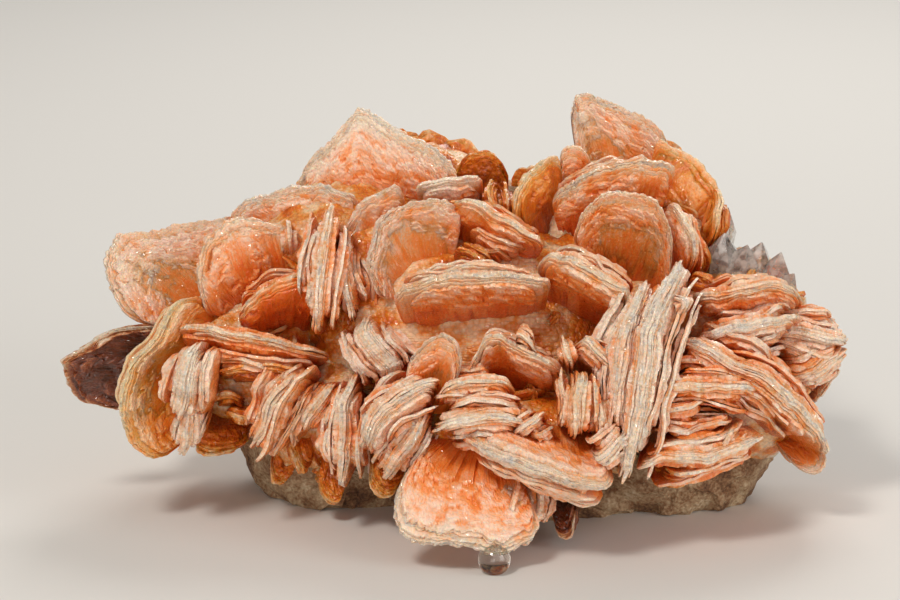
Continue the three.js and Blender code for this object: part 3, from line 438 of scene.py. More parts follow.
# The small blades that fill the gaps of the heart.
HEART_BLADES = [
    blade(3.2, [[-53, -15.5, 16], [-46, -15, 18], [-38, -15.3, 18], [-33, -16.5, 15]],
          [[-50, -20, -6], [-34, -21, -6]], reach=12),
    blade(2.8, [[-56, -22.5, 13], [-51, -21.8, 16], [-46, -23, 15]],
          [[-52, -22, -6], [-44, -24, -6]], reach=16),
    blade(2.8, [[-51.5, -26.5, 16], [-48, -27, 17], [-44, -27, 15]],
          [[-48, -24, -4], [-42, -24, -4]], reach=16),
    blade(3.6, [[-57.5, -30, 13], [-57, -34, 14], [-53, -34.5, 14], [-46, -34, 12]],
          [[-52, -24, -2], [-44, -25, -2]], reach=20),
    blade(4.4, [[-37, -32, 14], [-35, -37, 15], [-33, -41.5, 14]], [[-32, -22, -2], [-30, -28, -2]]),
    blade(3.4, [[-41, -37.5, 5], [-39.5, -42, 6], [-36.5, -42, 6]],
          [[-36, -25, -6], [-30, -26, -6]], reach=20),
    blade(4.4, [[-30.5, -40.5, 12], [-28.5, -45.5, 13], [-25.5, -46.5, 13], [-24, -44, 12]],
          [[-26, -28, 0], [-20, -30, 0]], reach=20),
    blade(4.6, [[-18, -36, 20], [-17.5, -42, 21], [-14, -45, 21], [-11, -42, 21]],
          [[-14, -26, 4], [-8, -28, 4]]),
    blade(2, [[0.5, 12.7, 17], [4, 10.6, 18], [9, 7.8, 17]], [[2, 4, -4], [9, 2, -4]], reach=12),
    blade(2, [[2, 14.5, 13], [6, 11.8, 15], [11, 8.6, 15]], [[3, 6, -4], [10, 3, -4]], reach=12),
    blade(3, [[1, 32, -4], [4, 33.5, -4], [9, 34, -4], [13, 31, -3]], [[2, 19, -16], [13, 18, -16]]),
    blade(3.2, [[9.3, 29, 4], [8.6, 25, 7], [9.8, 20.5, 8]], [[9, 18, -10], [9, 12, -8]], reach=20),
    blade(3.2, [[12, 28.5, 3], [12.3, 24, 6], [12.8, 20, 7]], [[12, 18, -10], [12, 12, -8]], reach=20),
    blade(3.4, [[14, 30, -16], [18, 30.3, -16], [22, 30.4, -16]], [[14, 18, -22], [22, 18, -22]], reach=12),
    blade(3, [[56.5, 15, 4], [58, 12, 6], [59.5, 9.5, 5]], [[54, 8, -8], [57, 4, -8]], reach=18),
    blade(3, [[54, 6.5, 9], [57, 5.5, 10], [59.5, 3.5, 9]], [[54, 0, -6], [58, -2, -6]], reach=12),
    blade(3.2, [[45, -41, 24], [50, -42, 25], [56, -40, 24]], [[46, -31, 4], [54, -30, 4]], reach=14),
    blade(3, [[70, -8, 4], [75, -10.5, 6], [79, -12.5, 6]], [[66, -8, -8], [70, -12, -8]], reach=12),
]

# The heart's lumps: centre and half size on the display face.
HEART_LUMPS = [
    [[8, -8, -4], [42, 27, 21]], [[14, -31, 10], [30, 13, 24]], [[58, -24, 4], [24, 14, 22]],
    [[62, -5, -8], [23, 13, 18]], [[-48, -14, -8], [25, 20, 19]], [[-52, 3, -17], [22, 12, 13]],
    [[-24, 9, -10], [24, 18, 18]], [[-12, 25, -18], [22, 12, 12]], [[36, 17, -13], [25, 15, 14]],
    [[40, 28, -27], [12, 9, 8]], [[42, -2, -4], [15, 10, 13]], [[3, -42, 20], [13, 10, 12]],
    [[-29, -26, -2], [15, 15, 15]],
]

# The matrix's blocks: centre and half size in the object's frame.
MATRIX_BLOCKS = [
    [[4, 22, 28], [42, 19, 38]], [[-34, 16, 34], [27, 17, 26]], [[46, 16, 30], [30, 17, 32]],
    [[16, 2, 6], [40, 28, 18]], [[50, -2, 12], [26, 20, 20]], [[-24, 6, 10], [27, 22, 22]],
]

# The quartz crystals: foot and tip on the display face, and width.
QUARTZ = [
    [[61, 3, -10], [62.5, 15, -2], 8], [[64, 2, -12], [66, 12.3, 0], 8.5],
    [[67, 1, -14], [69.2, 13, -3], 9], [[71, 0, -14], [73.6, 9.8, -2], 8],
    [[73, -2, -13], [76.5, 6, -3], 7], [[60, 8, -14], [63.2, 21, -9], 6],
]

# How each crest looks where it isn't ordinary: width of its pale rim band in mm, share of its face under
# scales, how far the fibres of its rim fray from 0 to 1, and how deep its face colour is from 0 to 1. That
# depth is partly the crest's own iron stain and partly painted shade: crests whose faces lie in shadow,
# such as the left tip blade and the dark sheaf, are given deeper colours.
ORDINARY = {"band": 3.4, "scales": 0.5, "fray": 0.45, "deep": 0.3}
LOOKS = {
    "left_tip_blade": {"band": 3.2, "deep": 1.0, "scales": 0.4},
    "left_lobe": {"band": 6.0, "deep": 0.4, "scales": 0.8},
    "left_sheaf": {"band": 5.5, "deep": 0.35, "fray": 0.6},
    "left_face_plate": {"band": 4.5, "deep": 0.15, "scales": 1.0},
    "long_ledge": {"band": 2.8, "deep": 0.4},
    "upper_left_crest": {"band": 7.5, "deep": 0.3, "scales": 0.9},
    "upper_left_ridge": {"band": 4.0, "deep": 0.35, "scales": 0.7},
    "rayed_bowl": {"band": 4.5, "deep": 0.3, "scales": 0.3, "fray": 0.6},
    "eyelid_crest": {"band": 3.4, "deep": 0.75, "scales": 0.15, "fray": 0.3},
    "spear_blade": {"band": 3.4, "deep": 0.3, "fray": 0.3},
    "second_spear": {"band": 3.0, "deep": 0.3},
    "white_strut": {"band": 6.5, "deep": 0.2, "fray": 0.6},
    "swirl_plate": {"band": 4.0, "deep": 0.15, "scales": 1.0},
    "cavity_roof": {"band": 2.8, "deep": 0.5},
    "top_fan": {"band": 3.5, "deep": 0.5},
    "peak_plate": {"band": 6.0, "deep": 0.25, "scales": 0.9},
    "amber_plate": {"band": 2.0, "deep": 0.5, "scales": 0.1, "fray": 0.2},
    "sweeping_crest": {"band": 4.2, "deep": 0.35},
    "round_plate": {"band": 4.0, "deep": 0.1, "scales": 1.0},
    "centre_shelf": {"band": 6.5, "deep": 0.25, "scales": 0.8},
    "centre_shelf_end": {"band": 5.5, "deep": 0.4, "scales": 0.6},
    "front_lobe": {"band": 4.5, "deep": 0.3, "fray": 0.7},
    "front_slope": {"band": 4.0, "deep": 0.35, "fray": 0.8},
    "front_feather": {"band": 4.0, "deep": 0.3, "fray": 0.8},
    "front_carpet": {"band": 4.5, "deep": 0.25, "fray": 1.0},
    "bottom_lobe": {"band": 4.2, "deep": 0.3, "scales": 1.0},
    "tall_sheaf": {"band": 6.0, "deep": 0.3, "fray": 0.8},
    "right_feather": {"band": 4.0, "deep": 0.3, "fray": 0.9},
    "right_fan": {"band": 5.5, "deep": 0.3, "fray": 0.8},
    "long_diagonal": {"band": 4.5, "deep": 0.7},
    "middle_ledge": {"band": 3.8, "deep": 0.7, "fray": 0.8},
    "lower_ledge": {"band": 4.2, "deep": 0.7, "fray": 0.7},
    "side_blade": {"band": 3.8, "deep": 0.9},
    "dark_sheaf": {"band": 1.6, "deep": 1.0},
    "hanging_sheaf": {"band": 4.0, "deep": 0.4, "fray": 0.9},
}
HEART_LOOK = {"band": 2.6, "deep": 0.5, "scales": 0.4, "fray": 0.5}
DRUSE_LOOK = {"band": 2.2, "deep": 0.3, "scales": 0.3, "fray": 0.5}


def hashed(cells, salt=0):
    """Repeatable numbers from 0 to 1, one for each whole-number cell (its coordinates on the last axis)."""
    stir = np.uint32(HASH_STEP)
    state = np.full(cells.shape[:-1], salt + 1, dtype=np.uint32)
    for axis in range(cells.shape[-1]):
        state = (state ^ cells[..., axis].astype(np.int64).astype(np.uint32)) * stir
        state ^= state >> 15
    state = (state ^ (state >> 13)) * stir
    state ^= state >> 16
    return state / 2.0**32


def noise(points, salt=0):
    """Smooth value noise from 0 to 1: the numbers at a cell's corners, blended by smoothed distances."""
    cell = np.floor(points)
    part = points - cell
    part = part * part * (3 - 2 * part)
    size = points.shape[-1]
    total = 0
    for corner in range(2**size):
        step = np.array([(corner >> axis) & 1 for axis in range(size)])
        weight = np.prod(np.where(step == 1, part, 1 - part), axis=-1)
        total = total + weight * hashed(cell + step, salt)
    return total


def layered(points, salt=0, layers=3):
    """Noise from 0 to 1 in layers, each half as strong and twice as fine as the one before."""
    total = 0
    for layer in range(layers):
        total = total + noise(points * 2**layer, salt + 17 * layer) * 0.5 ** (layer + 1)
    return total / (1 - 0.5**layers)


def shingles(points, salt=0):
    """Overlapping scales on a plane, one unit wide: in each cell a tilted disc that rises towards the rim
    (smaller second coordinate) and ends in a sharp edge. The highest disc wins. Returns (height, which)."""
    cell = np.floor(points)
    best = np.zeros(points.shape[:-1])
    which = np.zeros(points.shape[:-1])
    for step in np.ndindex(3, 3):
        near = cell + np.array(step) - 1
        middle = near + 0.15 + 0.7 * np.stack([hashed(near, salt), hashed(near, salt + 1)], axis=-1)
        offset = points - middle
        radius = 0.62 + 0.4 * hashed(near, salt + 2)
        lean = 0.9 * (hashed(near, salt + 3) - 0.5)
        inside = np.hypot(offset[..., 0], offset[..., 1] * 1.25) < radius
        rise = 0.42 * (offset[..., 1] + lean * offset[..., 0])
        height = np.where(inside, 0.35 + 0.3 * hashed(near, salt + 4) - rise, 0)
        which = np.where(height > best, hashed(near, salt + 5), which)
        best = np.maximum(best, height)
    return best, which


def smoothstep(low, high, value):
    """0 below low, 1 above high and a smooth rise between."""
    part = np.clip((value - low) / (high - low), 0, 1)
    return part * part * (3 - 2 * part)


def unit(vectors):
    """The same directions, one long."""
    return vectors / np.maximum(np.linalg.norm(vectors, axis=-1, keepdims=True), 1e-9)


def place(points):
    """Places [right, up, out] on the leaning display face, read in perspective, as mm in the object's
    frame."""
    points = np.asarray(points, dtype=float)
    right, up, out = points[..., 0], points[..., 1], points[..., 2]
    shrink = (VIEW_DISTANCE - out) / VIEW_DISTANCE
    upward = up * shrink
    sine, cosine = math.sin(FACE_TILT), math.cos(FACE_TILT)
    back = upward * sine - out * cosine
    height = upward * cosine + out * sine + FACE_HEIGHT
    return np.stack([right * shrink, back, height], axis=-1)


TO_VIEWER = np.array([0, -math.cos(FACE_TILT), math.sin(FACE_TILT)])
TO_LIGHT = TO_VIEWER + np.array([0, 0, 0.35])  # a little higher: the front of a blade faces this way


class Line:
    """A smooth curve through points: a centripetal Catmull-Rom spline, looked up by share of its length."""

    def __init__(self, points):
        first = 2 * points[0] - points[1]
        last = 2 * points[-1] - points[-2]
        padded = np.vstack([first, points, last])
        step = np.linalg.norm(np.diff(padded, axis=0), axis=1) ** 0.5
        turns = np.linspace(0, len(points) - 1, 60 * len(points))
        span = np.minimum(turns.astype(int), len(points) - 2)
        part = (turns - span)[:, None]
        a, b, c, d = (padded[span + k] for k in range(4))
        before, here, after = (step[span + k][:, None] for k in range(3))
        leave = ((b - a) / before - (c - a) / (before + here) + (c - b) / here) * here
        arrive = ((c - b) / here - (d - b) / (here + after) + (d - c) / after) * here
        cubic = 2 * b - 2 * c + leave + arrive
        square = -3 * b + 3 * c - 2 * leave - arrive
        self.points = ((cubic * part + square) * part + leave) * part + b
        run = np.linalg.norm(np.diff(self.points, axis=0), axis=1)
        self.run = np.concatenate([[0], np.cumsum(run)])
        self.length = self.run[-1]

    def at(self, share):
        """Points at these shares of the length, carried on straight past both ends."""
        length = np.clip(share, 0, 1) * self.length
        point = np.stack([np.interp(length, self.run, self.points[:, k]) for k in range(3)], axis=-1)
        before = np.minimum(share, 0)[..., None] * self.length
        after = np.maximum(share - 1, 0)[..., None] * self.length
        start = unit(self.points[1] - self.points[0])
        end = unit(self.points[-1] - self.points[-2])
        return point + before * start + after * end


class Sheet:
    """The middle sheet of one blade, ruled between its rim and its root as the solid is. The two are given
    on the display face in the blade's own lists, or as points in the object's frame."""

    def __init__(self, spec, rim=None, root=None):
        self.spec = spec
        self.rim = Line(place(spec["rim"]) if rim is None else rim)
        self.root = place(spec["root"]) if root is None else root
        middle = self.rim.at(np.array(0.5))
        heart = self.root.mean(axis=0)
        self.span = np.linalg.norm(middle - heart)
        self.reach = min(spec["reach"], self.span)
        self.foot = self.reach + SUNK
        across = self.rim.points[-1] - self.rim.points[0]
        normal = unit(np.cross(across, middle - heart))
        side = 1 if normal @ TO_LIGHT > 0 else -1
        self.bow = spec["bow"] * side
        self.normal = normal * side
        self.length = self.rim.length

    def at(self, along, depth):
        """Points at a share along the rim and a depth behind it; the depth may be negative."""
        rim = self.rim.at(along)
        root = self.root[0] + (self.root[1] - self.root[0]) * along[..., None]
        share = np.clip(1 - depth / self.reach, 0, 1)
        bulge = self.bow * np.sin(math.pi * share) * np.sin(math.pi * np.clip(along, 0, 1))
        return root + (rim - root) * (1 - depth / self.span)[..., None] + bulge[..., None] * self.normal

    def outward(self, along):
        """Unit directions from the root to the rim."""
        root = self.root[0] + (self.root[1] - self.root[0]) * along[..., None]
        return unit(self.rim.at(along) - root)

    def half(self, along, depth):
        """Half the thickness at these places: less at the rim, full behind it and less at the foot."""
        taper = END_FULLNESS + (1 - END_FULLNESS) * np.sin(math.pi * np.clip(along, 0, 1))
        share = np.clip(depth / self.reach, 0, 1)
        full = RIM_FULLNESS + (1 - RIM_FULLNESS) * smoothstep(0, 1 - FULLEST, share)
        full = full - (1 - FOOT_FULLNESS) * smoothstep(1 - FULLEST, 1, share)
        return self.spec["thick"] / 2 * taper * full


class Skin:
    """Grids of quads gathered into one mesh. Each point carries its UV (along the rim, behind the rim, in
    metres), its depth behind the pale rim (0 to 1 across the band, 2 deep inside) and a tone of its own."""

    def __init__(self):
        self.points = []
        self.quads = []
        self.grain = []
        self.inner = []
        self.tone = []
        self.smooth = []
        self.count = 0

    def add(self, points, quads, grain, inner, tone, smooth=False):
        """Adds one closed part, its faces turned outwards by the sign of the volume that they enclose."""
        flat = points.reshape(-1, 3)
        a, b, c, d = (flat[quads[:, k]] for k in range(4))
        swept = np.sum(np.cross(c - a, d - b) * (a + c))
        self.points.append(flat)
        self.quads.append((quads[:, ::-1] if swept < 0 else quads) + self.count)
        self.smooth.append(np.full(len(quads), smooth))
        self.grain.append(np.broadcast_to(grain, points.shape[:-1] + (2,)).reshape(-1, 2))
        self.inner.append(np.broadcast_to(inner, points.shape[:-1]).reshape(-1))
        self.tone.append(np.broadcast_to(tone, points.shape[:-1]).reshape(-1))
        self.count += len(flat)

    def mesh(self, name):
        """The gathered skin as a new object. No point of it leaves the solids' own box."""
        points = np.clip(np.concatenate(self.points) * MM, CAD_BOX[0], CAD_BOX[1])
        quads = np.concatenate(self.quads)
        mesh = bpy.data.meshes.new(name)
        mesh.vertices.add(len(points))
        mesh.vertices.foreach_set("co", points.astype(np.float32).ravel())
        mesh.loops.add(4 * len(quads))
        mesh.loops.foreach_set("vertex_index", quads.astype(np.int32).ravel())
        mesh.polygons.add(len(quads))
        mesh.polygons.foreach_set("loop_start", np.arange(len(quads), dtype=np.int32) * 4)
        mesh.polygons.foreach_set("use_smooth", np.concatenate(self.smooth))
        layer = mesh.uv_layers.new(name="grain")
        grain = np.concatenate(self.grain)[quads.ravel()] * MM
        layer.uv.foreach_set("vector", grain.astype(np.float32).ravel())
        for label, values in (("inner", self.inner), ("tone", self.tone)):
            attribute = mesh.attributes.new(label, "FLOAT", "POINT")
            attribute.data.foreach_set("value", np.concatenate(values).astype(np.float32))
        mesh.update()
        made = bpy.data.objects.new(name, mesh)
        bpy.context.scene.collection.objects.link(made)
        return made


def grid_quads(rows, columns, closed=False):
    """Quads of a grid of points, rows x columns; closed joins the last column to the first."""
    row = np.arange(rows - 1)[:, None]
    column = np.arange(columns if closed else columns - 1)[None, :]
    following = (column + 1) % columns
    corners = [row * columns + column, row * columns + following]
    corners += [(row + 1) * columns + following, (row + 1) * columns + column]
    return np.stack(np.broadcast_arrays(*corners), axis=-1).reshape(-1, 4)


def cap_quads(columns, first):
    """Quads that close a ring of points (an even number of columns) at its start index."""
    half = columns // 2
    left = np.arange(half - 1)
    right = columns - 1 - left
    return np.stack([left, left + 1, right - 1, right], axis=-1) + first


def bundles(points, salt=0):
    """Laths side by side on a plane: cells one unit long and one wide, in each a long rounded bar of its
    own length, width and height. The highest bar wins. Returns (height from 0 to 1, which)."""
    cell = np.floor(points)
    best = np.zeros(points.shape[:-1])
    which = np.zeros(points.shape[:-1])
    for step in np.ndindex(3, 3):
        near = cell + np.array(step) - 1
        offset = points - near - np.stack([hashed(near, salt), hashed(near, salt + 1)], axis=-1)
        length = 0.55 + 0.5 * hashed(near, salt + 2)
        width = 0.45 + 0.35 * hashed(near, salt + 3)
        end = np.clip(1 - (offset[..., 0] / length) ** 2, 0, 1) ** 0.35
        round_top = np.clip(1 - (offset[..., 1] / width) ** 2, 0, 1) ** 0.5
        height = end * round_top * (0.35 + 0.65 * hashed(near, salt + 4))
        which = np.where(height > best, hashed(near, salt + 5), which)
        best = np.maximum(best, height)
    return best, which


def ragged(run, look, salt, coarse, edge_on):
    """How far one plate's rim steps in and out, in mm, at lengths along it: long waves, the square-cut ends
    of its fibres, side by side, and scallops where it is scaly. Where only rims show, the fibres step
    less."""
    waves = LONG_WAVE * (layered(run[:, None] / LONG_WAVE_RUN, salt) - 0.5)
    waves += SHORT_WAVE * (noise(run[:, None] / SHORT_WAVE_RUN, salt + 5) - 0.5)
    fibre = np.floor(run / FIBRE_WIDTH + 1.5 * noise(run[:, None] / 4, salt + 6))
    step = (LEAST_FRAY + FRAY * look["fray"]) / coarse
    fibres = step * (hashed(fibre[:, None], salt + 7) - 0.5) * (1 - edge_on) ** 2
    scallop = (run / SCALLOP + 0.9 * noise(run[:, None] / 2.6, salt + 8)) % 1
    scallops = SCALLOP_DEPTH * look["scales"] * (np.sqrt(1 - (2 * scallop - 1) ** 2) - 0.7)
    return waves + fibres + scallops


def relief(places, depth, cover, salt, settings):
    """Scales, rays and swells of a plate's face, in mm, at places along its rim and depths behind it. cover
    is how far the scales cover it. Returns (height, scales, tone)."""
    surface = np.stack([places, depth], axis=-1)
    scales, which = shingles(surface / settings.scale_size + salt, salt)
    small, _ = shingles(surface / (SMALL_SCALE * settings.scale_size) + 3 * salt, salt + 50)
    rays, ray_tone = bundles(np.stack([depth / RAY_LENGTH, places / RAY_WIDTH], axis=-1) + salt, salt + 60)
    swell = layered(surface / SWELL_RUN, salt + 9) - 0.5
    scaly = SCALE_HEIGHT * scales + SMALL_SCALE_HEIGHT * small
    height = cover * scaly + (1 - cover) * RAY_HEIGHT * rays - 0.35 + SWELL * swell
    return height, scales, which * cover + (1 - cover) * ray_tone


class Plate:
    """One thin plate of a blade's stack, at a level from -1 (back) to 1 (front). Its skin is a closed loop
    of rows swept along the rim: its front face from foot to rim, then its back face. It is thin at its
    ragged rim and meets its neighbours further in. Only the outermost faces are finely shaped."""

    def __init__(self, sheet, look, level, spacing, salt, blade_salt, settings, coarse):
        self.sheet = sheet
        self.look = look
        self.level = level
        self.spacing = spacing
        self.salt = salt
        self.blade_salt = blade_salt
        self.settings = settings
        self.coarse = coarse
        self.random = np.random.default_rng(salt)
        self.edge_on = 1 - min(abs(float(sheet.normal @ TO_VIEWER)) / MOST_FACING, 1)
        columns = int(np.clip(sheet.length / (coarse * settings.column_step), LEAST_COLUMNS, MOST_COLUMNS))
        # It falls short of its blade's two ends, the more the farther out it stands in the stack.
        short = self.random.uniform(-0.4, 0.3 + 1.5 * look["fray"], 2) / sheet.length
        outer = (0.04 + OUTER_SHORT * self.edge_on) * abs(level) ** 1.5
        short += outer * self.random.uniform(0.2, 1, 2)
        self.along = short[0] + (1 - short.sum()) * np.linspace(0, 1, columns)
        self.run = self.along * sheet.length
        self.ends = np.minimum(self.along - self.along[0], self.along[-1] - self.along) * sheet.length

    def rows(self):
        """The rows' depths behind the rim, the face of each (1 in front, -1 behind) and whether it is
        shown: 1 on an outermost face and 0 on the others."""
        steps = self.coarse * self.settings.row_step * (1 + self.edge_on) * (1 if self.level > 0 else 2)
        few = np.array([0, 1.2, self.sheet.foot])
        fine = np.arange(0.8, self.sheet.reach * DETAIL_DEPTH, steps)
        many = np.concatenate([[0, 0.3], fine, [0.8 * self.sheet.reach, self.sheet.foot]])
        first = self.level > OUTERMOST
        last = self.level < -OUTERMOST
        front = many if first else few
        back = many if last else few
        if (len(front) + len(back)) % 2:
            front = np.append(front, self.sheet.foot + 0.5)
        depth = np.concatenate([front[::-1], back])
        face = np.concatenate([np.ones(len(front)), -np.ones(len(back))])
        shown = np.concatenate([np.full(len(front), first), np.full(len(back), last)]) * 1.0
        return depth, face, shown

    def edge(self):
        """How far the rim stands out, in mm. The outer plates' rims lie behind the middle ones', and every
        rim's two corners are rounded."""
        own = OWN_RAGGEDNESS * (1 - 0.45 * self.edge_on)
        edge = own * ragged(self.run, self.look, self.salt, self.coarse, self.edge_on) - RIM_MARGIN
        edge += (1 - own) * ragged(self.run, self.look, self.blade_salt, self.coarse, self.edge_on)
        set_back = SET_BACK * abs(self.level) ** 1.5
        edge -= set_back * self.random.uniform(0.7, 1) + self.random.uniform(0, 0.5)
        rounding = CORNER_ROUNDING * self.random.uniform(0.5, 1.8)
        corner = np.clip(1 - self.ends / rounding, 0, 1)
        edge -= 1.3 * rounding * (1 - np.sqrt(1 - corner**2))
        return edge

    def wandering(self, salt, run):
        """Noise along the rim, over runs of this length, of the plate's own."""
        return noise(np.stack([self.run / run, 0 * self.run + self.salt], axis=-1), self.salt + salt)

    def middle(self, depth):
        """How far the plate's middle lies in front of its blade's. Its place in the stack wanders along the
        rim, its rim flutters, and it sways with its blade."""
        run = self.run[:, None]
        aside = 1.4 * self.spacing * (layered(run / 11, self.salt + 2) - 0.5) * (1 - abs(self.level))
        half = self.sheet.half(self.along[:, None] + 0 * depth, depth)
        middle = self.level * (1 - 0.5 * self.spacing / self.sheet.spec["thick"]) * half + aside[:, None]
        flutter = FLUTTER * self.spacing * (self.wandering(3, FLUTTER_RUN) - 0.5)
        middle = middle + flutter[:, None] * np.exp(-np.maximum(depth, 0) / 1.8)
        sway = SWAY * (layered(run / SWAY_RUN, self.blade_salt + 1) - 0.5)
        return middle + sway[:, None] * np.exp(-np.maximum(depth, 0) / 6)

    def thickness(self, depth):
        """The plate's thickness. Behind its rim, and here and there at it, it meets its neighbours."""
        grown = smoothstep(0.35, 0.6, self.wandering(12, GROWN_RUN))
        meeting = np.maximum(smoothstep(-0.2, GROOVE_DEPTH, depth), grown[:, None])
        return self.spacing * (RIM_SHARE + (INNER_SHARE - RIM_SHARE) * meeting)

    def colour_depth(self, depth, cover, scales, tone, shown):
        """How deep the colour is: 0 to 1 across the pale band, whose width wanders, and up to 2 inside."""
        surface = np.stack([np.broadcast_to(self.run[:, None], depth.shape), depth], axis=-1)
        wander = layered(surface / 2.3, self.salt + 21)
        band = np.where(shown > 0, self.look["band"], 0.8 * self.look["band"] + 0.8) * (0.4 + 1.2 * wander)
        inner = np.clip(depth / band, 0, 1) + np.clip((depth - band) / (0.8 * self.sheet.reach), 0, 1)
        # A crest's deep look moves its faces to deeper colours: partly its own stain, and painted shade
        # where its faces lie in shadow.
        inner += cover * (0.3 - 1.1 * scales) + (self.look["deep"] - 0.4) * np.clip(inner, 0, 1)
        own = (0.35 + 0.2 * self.edge_on) * (self.random.random() - 0.5)
        return inner + own + 0.25 * (0.5 - tone)

    def add_to(self, skin):
        """Adds the plate's skin."""
        depth, face, shown = self.rows()
        depth = depth - self.edge()[:, None] * np.exp(-depth / RIM_INFLUENCE)
        places = np.broadcast_to(self.run[:, None], depth.shape)
        middle = self.middle(depth)
        thick = self.thickness(depth)
        # Over its last millimetre at each end it grows thin.
        ending = np.sqrt(np.clip(self.ends, 0.1, 1))[:, None]

        # Scales cover patches of an outermost face, and most of it where the crest is scaly. Nothing rises
        # at the rim, and little at the foot.
        low, high = 0.62 - 0.8 * self.look["scales"], 0.75 - 0.6 * self.look["scales"]
        patches = noise(np.stack([places, depth], axis=-1) / SCALE_PATCH, self.salt + 4)
        cover = smoothstep(low, high, patches) * shown
        height, scales, tone = relief(places, depth, cover, self.salt, self.settings)
        rise = np.where(shown > 0, height, 0.4 * height) * smoothstep(0.1, 1.6, depth)
        rise = rise * smoothstep(0, 2.0, self.sheet.foot + 0.6 - depth)
        points = self.sheet.at(self.along[:, None] + 0 * depth, depth)
        points = points + (middle + face * (thick / 2 + rise) * ending)[..., None] * self.sheet.normal

        inner = self.colour_depth(depth, cover, scales, tone, shown)
        rows = len(face)
        quads = grid_quads(len(self.run), rows, closed=True)
        caps = [cap_quads(rows, 0)[:, ::-1], cap_quads(rows, (len(self.run) - 1) * rows)]
        grain = np.stack([places, depth + middle + face * thick / 2], axis=-1)
        skin.add(points, np.concatenate([quads, *caps]), grain, inner, tone)


def crest_skin(skin, sheet, look, salt, settings, coarse=1.0):
    """One blade as a stack of thin plates that fan out of its foot."""
    thick = sheet.spec["thick"]
    count = int(np.clip(round(thick / settings.plate_spacing), LEAST_PLATES, MOST_PLATES))
    for number, level in enumerate(np.linspace(1, -1, count)):
        own_salt = salt + 7 * number
        Plate(sheet, look, level, thick / count, own_salt, salt, settings, coarse).add_to(skin)


def side_sheets(sheet, salt):
    """Sheets of the lesser blades that stand beside one blade, nearly parallel to it and set back from its
    rim, where they don't cover a face that the viewer sees."""
    random = np.random.default_rng(salt + 900)
    facing = abs(float(sheet.normal @ TO_VIEWER))
    ways = (-1, 1) if facing < EDGE_ON else (-1,)
    made = []
    if facing > MOST_FACING or sheet.length < SHORTEST_BLADE:
        return made
    for way in ways:
        for row in (1, 2) if sheet.length > LONG_BLADE else (1,):
            start, end = random.uniform(0.0, 0.25), random.uniform(0.7, 1.0)
            share = np.linspace(start, end, 6)
            set_back = random.uniform(*SIDE_SET_BACK) * row + random.uniform(-1.5, 1.5, 6)
            aside = way * (sheet.spec["thick"] / 2 + random.uniform(*SIDE_GAP) + SIDE_ROW * (row - 1))
            tilt = 1 + random.uniform(-0.4, 0.4) * (2 * share - 1)
            rim = sheet.at(share, set_back) + (aside * tilt)[:, None] * sheet.normal
            root = sheet.root[0] + (sheet.root[1] - sheet.root[0]) * np.array([[start], [end]])
            root = root + random.uniform(0.3, 0.9) * aside * sheet.normal
            thick = random.uniform(*SIDE_THICK)
            spec = {"thick": thick, "bow": 0, "reach": random.uniform(*SIDE_REACH)}
            made.append(Sheet(spec, rim, root))
    return made


def direction_grid(rows, columns):
    """Unit directions over a sphere, rows from pole to pole and closed columns round it."""
    polar = np.linspace(0, math.pi, rows)[:, None]
    turn = np.linspace(0, 2 * math.pi, columns, endpoint=False)[None, :]
    ring = np.sin(polar)
    axes = np.broadcast_arrays(ring * np.cos(turn), np.cos(polar) + 0 * turn, ring * np.sin(turn))
    return np.stack(axes, axis=-1)


def seeded(seed, count):
    """The same repeatable numbers from 0 to 1 that the solids take."""
    numbers = []
    for _ in range(count):
        seed = seed * SEED_STEP % SEED_RANGE
        numbers.append(seed % SEED_PARTS / SEED_PARTS)
    return np.array(numbers)


def lump_radius(directions, seed):
    """Share of its half size that a lump reaches in each direction: its corners' pushes, each weighing most
    near its own corner, flattened between them as a hull's facets are."""
    index = np.arange(LUMP_CORNERS)
    height = 1 - (2 * index + 1) / LUMP_CORNERS
    turn = index * GOLDEN_ANGLE
    ring = np.sqrt(1 - height**2)
    corners = np.stack([ring * np.cos(turn), height, ring * np.sin(turn)], axis=-1)
    push = LUMP_PUSH[0] + (LUMP_PUSH[1] - LUMP_PUSH[0]) * seeded(seed, LUMP_CORNERS)
    close = directions @ corners.T
    weight = np.exp(LUMP_SHARPNESS * close)
    return (weight * push * (0.9 + 0.1 * close)).sum(axis=-1) / weight.sum(axis=-1)


def broken_facets(points, salt, size):
    """Heights of broken cleavage facets in three dimensions, one unit high: each cell has a tilted plane of
    its own, and the nearest cell's plane shows. Returns (height, which)."""
    scaled = points / size
    cell = np.floor(scaled)
    best = np.full(points.shape[:-1], 9.0)
    height = np.zeros(points.shape[:-1])
    which = np.zeros(points.shape[:-1])
    for step in np.ndindex(3, 3, 3):
        near = cell + np.array(step) - 1
        jitter = np.stack([hashed(near, salt + k) for k in range(3)], axis=-1)
        offset = scaled - near - jitter
        distance = np.sum(offset**2, axis=-1)
        tilt = np.stack([hashed(near, salt + 5 + k) for k in range(3)], axis=-1) - 0.5
        plane = np.sum(offset * tilt, axis=-1) * 1.6 + 0.6 * (hashed(near, salt + 9) - 0.5)
        closer = distance < best
        best = np.where(closer, distance, best)
        height = np.where(closer, plane, height)
        which = np.where(closer, hashed(near, salt + 11), which)
    return height, which


